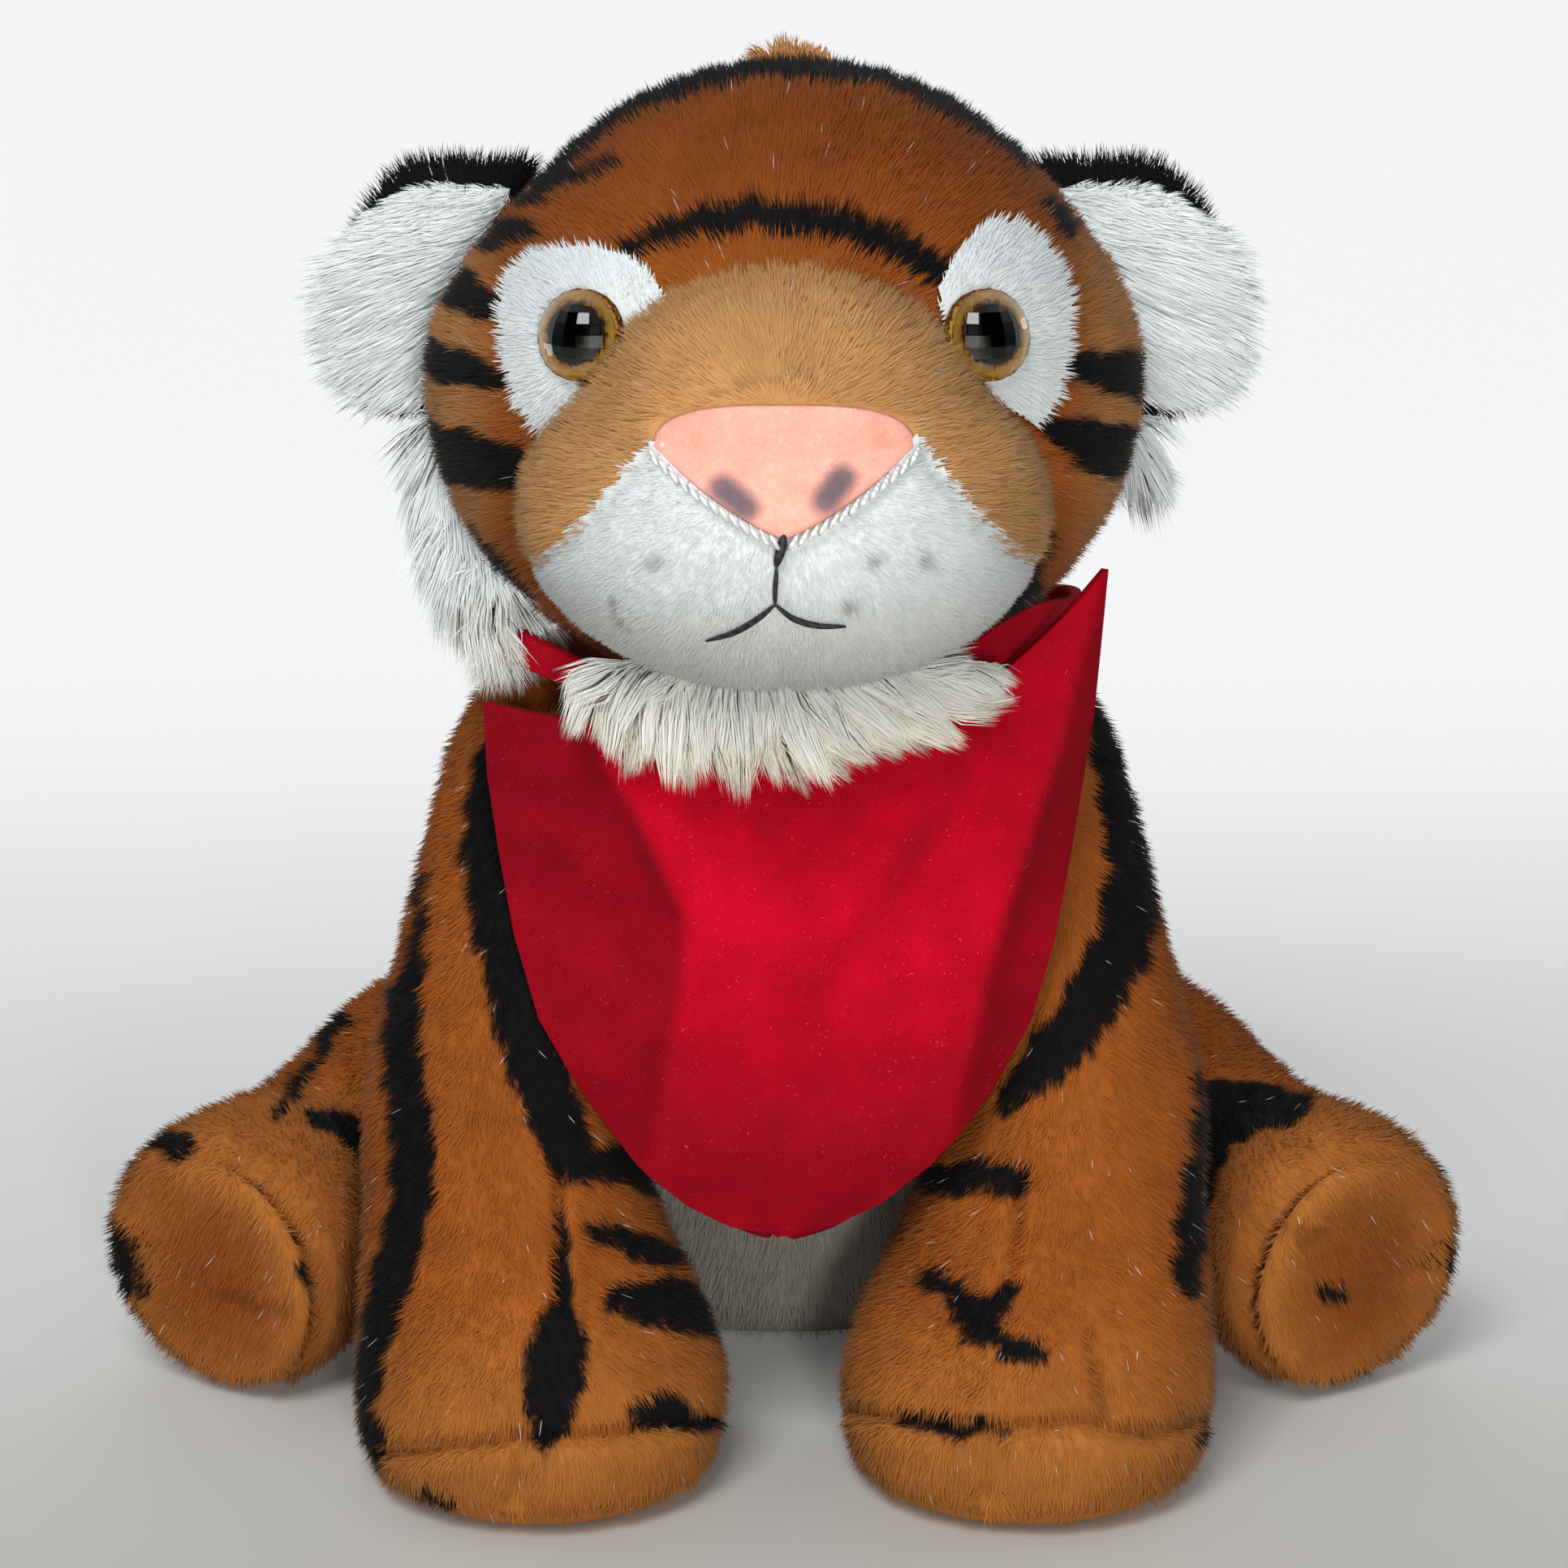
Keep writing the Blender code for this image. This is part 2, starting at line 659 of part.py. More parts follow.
def make_head():
    """A skin shell with its filling; the eye posts, their washers and the neck opening pierce it."""
    pivot = joint_empty("head_nod_axis", neck_pivot())
    skin = head_form()
    cut(skin, head_inside(SKIN_WALL))
    opening = Vector((0, 0, NECK_PIVOT_HEIGHT - NECK_BALL_RADIUS - GAP))
    cut(skin, drum(opening, Vector((0, 0, 1)), NECK_OPENING_RADIUS, NECK_BALL_RADIUS / 2))
    for side in (-1, 1):
        cut(skin, eye_stem(side, GAP))
        cut(skin, ear_roll(side, GAP))
    finish(skin, "head_skin", "orange_fur", pivot)

    filling = head_inside(SKIN_WALL + GAP)
    for side in (-1, 1):
        cut(filling, eye_stem(side, GAP))
        cut(filling, washer_room(side))
    finish(filling, "head_filling", "filling", pivot)

    front = -MUZZLE_FORWARD - MUZZLE_HALF_DEPTH - OVERRUN
    form = cut(snout_form(), head_form(GAP))
    snout = form.copy()
    snout.data = form.data.copy()
    bpy.context.collection.objects.link(snout)
    cut(snout, prism(white_and_nose_outline(), front, OVERRUN))
    finish(snout, "snout_panel", "tan_fur", pivot)
    pieces = (
        ("nose_pad", "nose_felt", nose_outline()),
        ("muzzle_right", "white_fur", muzzle_outline(1)),
        ("muzzle_left", "white_fur", muzzle_outline(-1)),
    )
    for name, key, outline in pieces:
        piece = prism(inset(outline, GAP), front, OVERRUN)
        keep(piece, form, spend=False)
        finish(piece, name, key, pivot)
    bpy.data.objects.remove(form, do_unlink=True)

    ruff_turns = np.linspace(-1, 1, 13)
    forward = CHIN_RUFF_BACK * ruff_turns**2 - CHIN_RUFF_FORWARD
    path = [(CHIN_RUFF_OUT * t, y, CHIN_RUFF_HEIGHT) for t, y in zip(ruff_turns, forward)]
    taper = np.sqrt(1 - (ruff_turns * 0.92) ** 2)[:, None]
    ruff = loft(path, taper * (CHIN_RUFF_HALF_THICKNESS, CHIN_RUFF_HALF_HEIGHT), sides=12)
    cut(ruff, snout_form(GAP))
    finish(ruff, "chin_ruff", "cream_fur", pivot)

    for side, word in ((-1, "left"), (1, "right")):
        make_eye(side, word, pivot)
        centre = (side * CHEEK_RUFF_OUT, CHEEK_RUFF_BACK, CHEEK_RUFF_HEIGHT)
        halves = (CHEEK_RUFF_HALF_WIDTH, CHEEK_RUFF_HALF_DEPTH, CHEEK_RUFF_HALF_HEIGHT)
        cheek = cut(ellipsoid(centre, halves, 16, 10), head_form(GAP))
        finish(cheek, "cheek_ruff_" + word, "cream_fur", pivot)
        make_ear(side, word)


def make_eye(side, word, pivot):
    """White patch, amber iris with its post, clear dome and lock washer."""
    height = SKULL_HEIGHT + EYE_RISE
    place, facing = skull_point(side * EYE_OUT, height)
    outline = [
        (side * (EYE_OUT - PATCH_INNER), height + PATCH_UP * 0.35),
        (side * (EYE_OUT - PATCH_INNER * 0.1), height - PATCH_DOWN * 0.55),
        (side * (EYE_OUT + PATCH_OUTER * 0.55), height - PATCH_DOWN),
        (side * (EYE_OUT + PATCH_OUTER), height - PATCH_DOWN * 0.5),
        (side * (EYE_OUT + PATCH_OUTER), height + PATCH_UP * 0.5),
        (side * (EYE_OUT + PATCH_OUTER * 0.5), height + PATCH_UP),
        (side * (EYE_OUT - PATCH_INNER * 0.4), height + PATCH_UP * 0.95),
    ]
    patch = skull(GAP + PATCH_CLOTH)
    keep(patch, prism(outline, -SKULL_FORWARD - SKULL_HALF_DEPTH - OVERRUN, -SKULL_FORWARD))
    cut(patch, skull(GAP))
    cut(patch, snout_form(GAP))
    cut(patch, eye_stem(side, GAP))
    finish(patch, "eye_patch_" + word, "white_fur", pivot)

    seat = PATCH_CLOTH + GAP * 2
    iris = drum(place + facing * seat, facing, EYE_RADIUS, EYE_FLANGE)
    join(iris, eye_stem(side))
    cut(iris, snout_form(GAP))
    finish(iris, "eye_iris_" + word, "amber_plastic", pivot)

    foot = EYE_RADIUS - EYE_RIM
    cap_radius = (foot**2 + EYE_DOME_RISE**2) / (2 * EYE_DOME_RISE)
    base = place + facing * (seat + EYE_FLANGE + GAP)
    dome = drum(base, facing, foot + EYE_RIM, EYE_DOME_RISE + EYE_RIM)
    keep(dome, ball(base + facing * (EYE_DOME_RISE - cap_radius), cap_radius))
    cut(dome, snout_form(GAP))
    finish(dome, "eye_dome_" + word, "clear_plastic", pivot)

    washer = washer_disc(side)
    cut(washer, eye_stem(side, GAP))
    finish(washer, "eye_washer_" + word, "washer_plastic", pivot)


def ear_blade(side, front, back):
    """A rounded flap beside its root: half an oval, drawn in the leaning plane of the ear."""
    axis = ear_axis(side)
    out = Vector((side * math.cos(EAR_LEAN), 0, math.sin(EAR_LEAN)))
    form = bmesh.new()
    steps = 14
    ring = []
    for i in range(steps + 1):
        angle = math.pi * (i / steps - 0.5)
        reach = EAR_REACH * math.cos(angle) ** EAR_ROUNDING if 0 < i < steps else 0
        rise = EAR_HALF_HEIGHT * math.sin(angle)
        place = ear_root(side) + out * (EAR_ROOT_RADIUS / 2 + reach) + axis * rise
        ring.append(form.verts.new(place + Vector((0, front, 0))))
    face = form.faces.new(ring)
    drawn = bmesh.ops.extrude_face_region(form, geom=[face])
    moved = [v for v in drawn["geom"] if isinstance(v, bmesh.types.BMVert)]
    bmesh.ops.translate(form, vec=(0, back - front, 0), verts=moved)
    return solid(form)


def make_ear(side, word):
    """Fluffy lining in front and striped back behind, folded round a roll that turns in the head."""
    pivot = joint_empty("ear_axis_" + word, ear_root(side))
    back = join(ear_roll(side), ear_blade(side, GAP, EAR_CLOTH))
    finish(back, "ear_back_" + word, "black_fur", pivot)
    lining = ear_blade(side, -EAR_CLOTH, 0)
    cut(lining, ear_roll(side, GAP))
    finish(lining, "ear_lining_" + word, "white_fur", pivot)


# Limbs


def foreleg_form(side):
    rows = []
    for height, out, forward, wide, deep in FORELEG_STATION_SHARES:
        rows.append(
            (
                side * out * PAW_OUT,
                -forward * PAW_FORWARD,
                height * SHOULDER_HEIGHT,
                wide * PAW_HALF_WIDTH,
                deep * PAW_HALF_DEPTH,
            )
        )
    rows = eased(rows, 14)
    return loft(rows[:, :3], rows[:, 3:], level=True)


def sole_pad(side, grow=0):
    centre = (side * PAW_OUT, -PAW_FORWARD, 0)
    pad = ellipsoid(centre, (SOLE_HALF_WIDTH + grow, SOLE_HALF_DEPTH + grow, OVERRUN), 20, 6)
    low = (-OVERRUN * 3, -OVERRUN * 3, -grow)
    return keep(pad, block(low, (OVERRUN * 3, OVERRUN * 3, SOLE_CLOTH + grow)))


def paw_bag(side, grow=0):
    centre = (side * PAW_OUT, -PAW_FORWARD, SOLE_CLOTH + GAP)
    halves = (PAW_BAG_HALF_WIDTH + grow, PAW_BAG_HALF_DEPTH + grow, PAW_BAG_HEIGHT + grow)
    bag = ellipsoid(centre, halves, 16, 10)
    low = (-OVERRUN * 3, -OVERRUN * 3, SOLE_CLOTH + GAP - grow)
    return keep(bag, block(low, (OVERRUN * 3, OVERRUN * 3, OVERRUN)))


def make_foreleg(side, word):
    """Leg and paw in one skin, with a bean bag behind the sole panel."""
    pivot = joint_empty("shoulder_axis_" + word, shoulder(side))
    leg = cut(foreleg_form(side), torso_form(GAP))
    join(leg, ball(shoulder(side), SHOULDER_RADIUS))
    ground_cut(leg)
    cut(leg, sole_pad(side, GAP))
    cut(leg, paw_bag(side, GAP))
    finish(leg, "foreleg_" + word, "orange_fur", pivot)
    finish(sole_pad(side), "foreleg_sole_" + word, "sole_fur", pivot)
    finish(paw_bag(side), "foreleg_bean_bag_" + word, "bag_cloth", pivot)


def hind_path(side):
    """The leg's middle line from the hip to its sole, bowed a little outward."""
    start, end = hip(side), Vector((side * FOOT_OUT, -FOOT_FORWARD, FOOT_HEIGHT))
    rows = []
    for along, wide, high in HIND_STATION_SHARES:
        middle = start.lerp(end, along)
        middle.x += side * HIND_BOW * math.sin(math.pi * along)
        rows.append((*middle, wide * FOOT_HALF_WIDTH, high * FOOT_HALF_HEIGHT))
    return eased(rows, 10)


def make_hind_leg(side, word):
    """Thigh ball, leg and a broad foot whose sole faces forward."""
    pivot = joint_empty("hip_axis_" + word, hip(side))
    rows = hind_path(side)
    leg = cut(loft(rows[:, :3], rows[:, 3:]), torso_form(GAP))
    join(leg, ball(hip(side), THIGH_RADIUS))
    ground_cut(leg)
    finish(leg, "hind_leg_" + word, "orange_fur", pivot)
    end = Vector(rows[-1, :3])
    facing = (end - Vector(rows[-2, :3])).normalized()
    edge = HIND_SOLE_RADIUS - HIND_SOLE_CLOTH
    sole = drum(end + facing * GAP, facing, HIND_SOLE_RADIUS, HIND_SOLE_CLOTH, 20, edge)
    finish(sole, "hind_sole_" + word, "sole_fur", pivot)


def tail_rows():
    rows = []
    last = len(TAIL_ROUTE_SHARES) - 1
    for i, (out, back) in enumerate(TAIL_ROUTE_SHARES):
        radius = TAIL_RADIUS + (TAIL_END_RADIUS - TAIL_RADIUS) * i / last
        place = (out * TAIL_OUT, TAIL_BACK + back * TAIL_DEPTH, radius - GROUND_CUT)
        rows.append((*place, radius, radius))
    rows = eased(rows, 16)
    end = np.array([1.0, 0.94, 0.80, 0.50])[:, None]
    rows[-4:, 3:] *= end
    return rows


def make_tail():
    """A stuffed tube with a black end piece, hidden behind the seat."""
    pivot = joint_empty("tail_axis", tail_root())
    rows = tail_rows()
    whole = loft(rows[:, :3], rows[:, 3:], sides=12)
    cut(whole, torso_form(GAP))
    ground_cut(join(whole, ball(tail_root(), TAIL_ROOT_RADIUS, INNER_SIDES, INNER_RINGS)))
    split = int(len(rows) * TAIL_TIP_SHARE)
    place, after = Vector(rows[split, :3]), Vector(rows[split + 1, :3])
    way = (after - place).normalized()
    beyond = drum(place + way * GAP, way, OVERRUN / 2, OVERRUN * 2)
    tip = whole.copy()
    tip.data = whole.data.copy()
    bpy.context.collection.objects.link(tip)
    keep(tip, beyond)
    cut(whole, drum(place, way, OVERRUN / 2, OVERRUN * 2))
    finish(whole, "tail", "orange_fur", pivot)
    finish(tip, "tail_tip", "black_fur", pivot)


# Bib


def bib_half_width(down):
    rows = np.array(BIB_OUTLINE_SHARES)
    return BIB_HALF_WIDTH * float(np.interp(down, rows[:, 0], rows[:, 1]))


def fold(distance):
    """A soft pleat: highest on its line and gone a few widths away."""
    return BIB_FOLD * math.exp(-((distance / BIB_FOLD_WIDTH) ** 2))


def bib_depth(x, down):
    """How far forward the felt hangs: wrapped round the chest, leaning out, with two slanting pleats."""
    round_chest = BIB_FORWARD * math.sqrt(1 - (x / BIB_WRAP) ** 2)
    flat = BIB_FORWARD
    wrap = round_chest + (flat - round_chest) * min(1, down * 1.5) * 0.7
    left_line = BIB_HALF_WIDTH * (-0.72 + 0.50 * down)
    right_line = BIB_HALF_WIDTH * (0.94 - 0.42 * down)
    pleats = fold(x - left_line) + fold(x - right_line)
    fade = math.sin(math.pi * min(1, down * 1.2)) if down * 1.2 < 1 else 0
    return wrap + BIB_LEAN * down + pleats * fade


def make_bib():
    """The flap hangs from its top edge's front face; the band over it is sewn round the neck."""
    hinge = Vector((0, -BIB_FORWARD - FELT / 2 - GAP, BIB_TOP))
    pivot = joint_empty("bib_axis", hinge)
    form = bmesh.new()
    across = np.linspace(-1, 1, 21)
    downs = np.linspace(0, 1, 16) ** 0.85
    grid = []
    for down in downs:
        row = []
        for share in across:
            x = share * bib_half_width(down)
            row.append(form.verts.new((x, -bib_depth(x, down), BIB_TOP - BIB_LENGTH * down)))
        grid.append(row)
    for upper, lower in zip(grid, grid[1:]):
        for i in range(len(across) - 1):
            form.faces.new((upper[i], upper[i + 1], lower[i + 1], lower[i]))
    flap = solid(form)
    thick = flap.modifiers.new("felt", "SOLIDIFY")
    thick.thickness = FELT
    thick.offset = 0
    finish(flap, "bib", "red_felt", pivot)

    form = bmesh.new()
    turns = np.linspace(0, 2 * math.pi, 54, endpoint=False)
    rings = [[], [], [], []]
    for turn in turns:
        front = max(0, -math.sin(turn))
        deep = BAND_BACK if math.sin(turn) > 0 else BIB_FORWARD
        wide = BAND_HALF_WIDTH
        away = math.atan2(math.sin(turn - BAND_CORNER_ANGLE), math.cos(turn - BAND_CORNER_ANGLE))
        spread = BAND_CORNER_AHEAD if away < 0 else BAND_CORNER_BEHIND
        corner = max(0, 1 - abs(away) / spread)
        behind = max(0, math.sin(turn))
        low = BIB_TOP + GAP + BAND_SIDE_RISE * (1 - front**6) - BAND_BACK_DROP * behind**2
        height = BAND_HEIGHT + (BAND_FRONT_HEIGHT - BAND_HEIGHT) * front**4 + BAND_CORNER_RISE * corner
        for ring, offset, up, flare in (
            (rings[0], -FELT / 2, 0, 0),
            (rings[1], FELT / 2, 0, 0),
            (rings[2], FELT / 2, height, BAND_CORNER_FLARE * corner),
            (rings[3], -FELT / 2, height, BAND_CORNER_FLARE * corner),
        ):
            x = (wide + offset + flare) * math.cos(turn)
            y = (deep + offset + flare) * math.sin(turn)
            ring.append(form.verts.new((x, y, low + up)))
    count = len(turns)
    for first, second in zip(rings, rings[1:] + rings[:1]):
        for i in range(count):
            j = (i + 1) % count
            form.faces.new((first[i], first[j], second[j], second[i]))
    band = solid(form)
    finish(band, "bib_band", "red_felt")


clear_scene()
make_torso()
make_head()
for limb_side, limb_word in ((-1, "left"), (1, "right")):
    make_foreleg(limb_side, limb_word)
    make_hind_leg(limb_side, limb_word)
make_tail()
make_bib()
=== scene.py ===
"""A plush tiger that sits in a red felt bib: fur, felt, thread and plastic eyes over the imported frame."""
import json
import math

import bpy
import numpy as np
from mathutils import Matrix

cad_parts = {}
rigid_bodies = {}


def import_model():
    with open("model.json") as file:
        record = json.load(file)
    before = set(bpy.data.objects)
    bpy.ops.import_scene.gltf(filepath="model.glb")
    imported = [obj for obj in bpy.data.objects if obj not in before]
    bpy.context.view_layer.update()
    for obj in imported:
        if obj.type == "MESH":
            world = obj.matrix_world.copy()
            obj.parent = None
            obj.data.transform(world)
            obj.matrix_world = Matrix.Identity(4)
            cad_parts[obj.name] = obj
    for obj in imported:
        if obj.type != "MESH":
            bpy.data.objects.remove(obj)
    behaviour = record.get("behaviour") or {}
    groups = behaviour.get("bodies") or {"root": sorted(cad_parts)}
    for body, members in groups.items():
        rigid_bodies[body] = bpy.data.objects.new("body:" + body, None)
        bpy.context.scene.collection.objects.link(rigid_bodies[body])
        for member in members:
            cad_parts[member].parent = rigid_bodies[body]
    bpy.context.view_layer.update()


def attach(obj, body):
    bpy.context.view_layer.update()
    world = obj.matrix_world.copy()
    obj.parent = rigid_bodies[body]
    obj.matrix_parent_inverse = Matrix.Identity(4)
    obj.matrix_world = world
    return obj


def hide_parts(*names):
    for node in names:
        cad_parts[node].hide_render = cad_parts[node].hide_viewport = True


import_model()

nodes = bpy.data.objects


# The view, the table and the light.
# The toy stands on a pale table in front of a bright white wall, lit from the front by a window and a flash.
# The camera looks down on it by 16 degrees from 80 cm away.
VIEW_FROM = np.array((0.0, -0.7690, 0.3053))
VIEW_TILT = math.radians(16)
VIEW_LENS = 130.9
PHOTO_SIDE = 1932
PHOTO_FOCUS = VIEW_LENS / 36 * PHOTO_SIDE


def linear(colour, alpha=1.0):
    """The linear RGBA of an sRGB hex colour."""
    shares = np.array([int(colour[i:i + 2], 16) for i in (1, 3, 5)]) / 255
    low = shares / 12.92
    high = ((shares + 0.055) / 1.055) ** 2.4
    return (*np.where(shares <= 0.04045, low, high), alpha)


def dye(colour):
    """The linear RGB of an sRGB hex colour, as an array."""
    return np.array(linear(colour)[:3])


def node(tree, kind, links=(), **settings):
    """Add a node; a setting is a property or an input's value, a link is (input, output socket)."""
    made = tree.nodes.new("ShaderNode" + kind)
    for name, value in settings.items():
        if hasattr(made, name):
            setattr(made, name, value)
        else:
            made.inputs[name.replace("_", " ")].default_value = value
    for place, source in links:
        tree.links.new(source, made.inputs[place])
    return made


def surface(name, **settings):
    """A new material, its tree, its Principled shader with sockets set, and the places on its object."""
    made = bpy.data.materials.new(name)
    made.use_nodes = True
    tree = made.node_tree
    shader = tree.nodes["Principled BSDF"]
    for key, value in settings.items():
        shader.inputs[key.replace("_", " ")].default_value = value
    return made, tree, shader, node(tree, "TexCoord").outputs["Object"]


def noise(tree, place, scale, detail, **settings):
    """A noise's value over places, with as many waves to the metre as its scale."""
    return node(tree, "TexNoise", [("Vector", place)], Scale=scale, Detail=detail, **settings).outputs["Fac"]


def ranged(tree, value, low, high, to_low=0.0, to_high=1.0, **settings):
    """A value taken from one range to another and held inside it."""
    bounds = {"From_Min": low, "From_Max": high, "To_Min": to_low, "To_Max": to_high}
    return node(tree, "MapRange", [("Value", value)], **bounds, **settings).outputs["Result"]


def ramp(tree, value, *stops):
    """The colour that a value picks from stops of (place, sRGB hex)."""
    made = node(tree, "ValToRGB", [("Fac", value)])
    elements = made.color_ramp.elements
    for element, (spot, colour) in zip(elements, (stops[0], stops[-1])):
        element.position = spot
        element.color = linear(colour)
    for spot, colour in stops[1:-1]:
        elements.new(spot).color = linear(colour)
    return made.outputs["Color"]


def mixed(tree, share, low, high, blend="MIX"):
    """The mix of two colours by a share, where each of the three is a constant, a hex colour or a socket."""
    made = node(tree, "Mix", data_type="RGBA", blend_type=blend)
    for index, source in ((0, share), (6, low), (7, high)):
        if isinstance(source, bpy.types.NodeSocket):
            tree.links.new(source, made.inputs[index])
        else:
            made.inputs[index].default_value = linear(source) if isinstance(source, str) else source
    return made.outputs[2]


def lumpy(tree, shader, height, strength, depth):
    """Let a height roughen a shader's face."""
    lumps = node(tree, "Bump", [("Height", height)], Strength=strength, Distance=depth)
    tree.links.new(lumps.outputs["Normal"], shader.inputs["Normal"])


def seen(tree):
    """1 for what the camera, a mirror or clear plastic looks at, 0 for light that only falls on something."""
    rays = node(tree, "LightPath").outputs
    share = rays["Is Camera Ray"]
    for ray in ("Is Glossy Ray", "Is Transmission Ray"):
        share = node(tree, "Math", [(0, share), (1, rays[ray])], operation="MAXIMUM").outputs[0]
    return share


def mesh_piece(name, points, faces, material):
    """An object from arrays of points and of three-cornered faces, smooth, at the origin."""
    mesh = bpy.data.meshes.new(name)
    mesh.vertices.add(len(points))
    mesh.vertices.foreach_set("co", np.asarray(points, dtype=np.float32).ravel())
    mesh.loops.add(len(faces) * 3)
    mesh.loops.foreach_set("vertex_index", np.asarray(faces, dtype=np.int32).ravel())
    mesh.polygons.add(len(faces))
    mesh.polygons.foreach_set("loop_start", np.arange(0, len(faces) * 3, 3, dtype=np.int32))
    mesh.update(calc_edges=True)
    mesh.validate()
    mesh.shade_smooth()
    mesh.materials.append(material)
    made = bpy.data.objects.new(name, mesh)
    bpy.context.collection.objects.link(made)
    return made


camera = nodes.new("view", bpy.data.cameras.new("view"))
camera.data.lens = VIEW_LENS
camera.data.sensor_width = 36
camera.location = VIEW_FROM
camera.rotation_euler = (math.pi / 2 - VIEW_TILT, 0, 0)
bpy.context.collection.objects.link(camera)
bpy.context.scene.camera = camera
bpy.context.scene.view_settings.view_transform = "Standard"

# Painted board: matt, pale grey with the faintest mottle, and a painted shade that greys it toward the
# viewer.
# From under the toy on its own light burns it out to white, as the wall behind it is.
PAINTED_SHADE_NEAR, PAINTED_SHADE_FAR, GLOW_NEAR, GLOW_FAR, GLOW = -0.19, 0.00, -0.06, 0.40, 0.92
TABLE_WIDE, TABLE_ROWS = 2.5, (-1.6, 0.0, 1.0, 2.2, 3.4)
board, tree, shader, place = surface("painted_board", Roughness=0.9)
tone = ramp(tree, noise(tree, place, 3.0, 2.0), (0.0, "#D2D3D0"), (1.0, "#D8D9D6"))
depth = node(tree, "SeparateXYZ", [("Vector", place)]).outputs["Y"]
# Painted shade: the board greys to #9E978A from under the toy toward the viewer.
tone = mixed(tree, ranged(tree, depth, PAINTED_SHADE_NEAR, PAINTED_SHADE_FAR), "#9E978A", tone)
tree.links.new(tone, shader.inputs["Base Color"])
far = ranged(tree, depth, GLOW_NEAR, GLOW_FAR, 0.0, GLOW, interpolation_type="SMOOTHSTEP")
share = node(tree, "Math", [(0, seen(tree)), (1, far)], operation="MULTIPLY")
white = node(tree, "Emission", Color=linear("#FAFBFC"), Strength=1.0)
both = node(tree, "MixShader", [(0, share.outputs[0]), (1, shader.outputs[0]), (2, white.outputs[0])])
tree.links.new(both.outputs[0], tree.nodes["Material Output"].inputs["Surface"])
corners = np.array([(x, y, 0.0) for y in TABLE_ROWS for x in (-TABLE_WIDE, TABLE_WIDE)])
steps = np.arange(len(TABLE_ROWS) - 1)[:, None] * 2
table = mesh_piece("table", corners, np.vstack((steps + (0, 1, 3), steps + (0, 3, 2))), board)

# The room: a white wall behind the toy, a dark one in front for the eyes to mirror, and soft fill light
FILL_AHEAD, FILL_BEHIND = 0.16, 0.75
world = bpy.data.worlds.new("room")
bpy.context.scene.world = world
world.use_nodes = True
tree = world.node_tree
fill = tree.nodes["Background"]
fill.inputs["Color"].default_value = linear("#F2F6FA")
ways = node(tree, "TexCoord").outputs["Generated"]
depth = node(tree, "SeparateXYZ", [("Vector", ways)]).outputs["Y"]
tree.links.new(ranged(tree, depth, -0.8, 0.8, FILL_AHEAD, FILL_BEHIND), fill.inputs["Strength"])
shade = ramp(tree, ranged(tree, depth, -0.3, 0.3), (0.0, "#0C0D0F"), (1.0, "#FAFBFC"))
wall = node(tree, "Background", [("Color", shade)], Strength=1.0)
both = node(tree, "MixShader", [(0, seen(tree)), (1, fill.outputs[0]), (2, wall.outputs[0])])
tree.links.new(both.outputs[0], tree.nodes["World Output"].inputs["Surface"])


def lamp(name, place, size, watts, colour):
    """A square lamp of soft light that faces the toy's chest."""
    chest = np.array((0, 0, 0.09))
    light = bpy.data.lights.new(name, "AREA")
    light.shape = "SQUARE"
    light.size = size
    light.energy = watts
    light.color = dye(colour)
    made = nodes.new(name, light)
    made.location = place
    way = chest - place
    flat = math.hypot(way[0], way[1])
    made.rotation_euler = (math.pi / 2 + math.atan2(way[2], flat), 0, math.atan2(-way[0], way[1]))
    bpy.context.collection.objects.link(made)


lamp("window", (-0.22, -0.80, 0.88), 0.45, 7.5, "#FFFFFF")
lamp("flash", (0.13, -1.18, 0.30), 0.12, 5.1, "#FFFDFA")
lamp("bounce", (0.0, -0.70, 0.03), 0.45, 1.5, "#FFF8EC")


# Torso: a stuffed bag of short plush, orange-brown with black stripes across its back.
# Knitted polyester pile on a skin that is cut in two sides and sewn down the spine.
# It is flat where it sits, and the belly panel, the legs and the tail are sewn to it.
GAP, CLOTH, GROUND = 0.0003, 0.001, 0.0004
TORSO_HEIGHT, TORSO_WIDE, TORSO_DEEP, TORSO_BACK = 0.105, 0.045, 0.0295, 0.027
TORSO_STATIONS = (
    (-0.010, 1.00, 0.66, 0.66),
    (0.030, 1.00, 0.86, 0.86),
    (0.125, 0.98, 0.98, 0.96),
    (0.275, 0.89, 1.00, 0.99),
    (0.420, 0.68, 0.91, 1.00),
    (0.565, 0.38, 0.80, 1.02),
    (0.690, 0.10, 0.72, 1.03),
    (0.820, -0.12, 0.67, 1.00),
    (0.910, -0.16, 0.61, 0.90),
    (0.970, -0.12, 0.52, 0.75),
    (1.000, -0.06, 0.40, 0.54),
)
ORANGE = dye("#A2591F")
RUST = dye("#884614")
SAND = dye("#CC9A62")
BLACK = dye("#0E0C0D")
WHITE = dye("#E4EBED")
CREAM = dye("#F4EAD2")
TUFT = dye("#C98D52")
# A white greyed by painted shade, for the belly under the chest and bib.
SHADED_WHITE = dye("#96938A")


def eased(rows, count):
    """Rows of a smooth curve through every station: a cubic in each gap, with slopes from the neighbours."""
    rows = np.array(rows, dtype=float)
    slopes = np.gradient(rows, axis=0)
    place = np.linspace(0, len(rows) - 1, count)
    low = np.minimum(place.astype(int), len(rows) - 2)
    t = (place - low)[:, None]
    start, end = rows[low], rows[low + 1]
    rise = (2 * t**3 - 3 * t**2 + 1) * start + (3 * t**2 - 2 * t**3) * end
    return rise + (t**3 - 2 * t**2 + t) * slopes[low] + (t**3 - t**2) * slopes[low + 1]


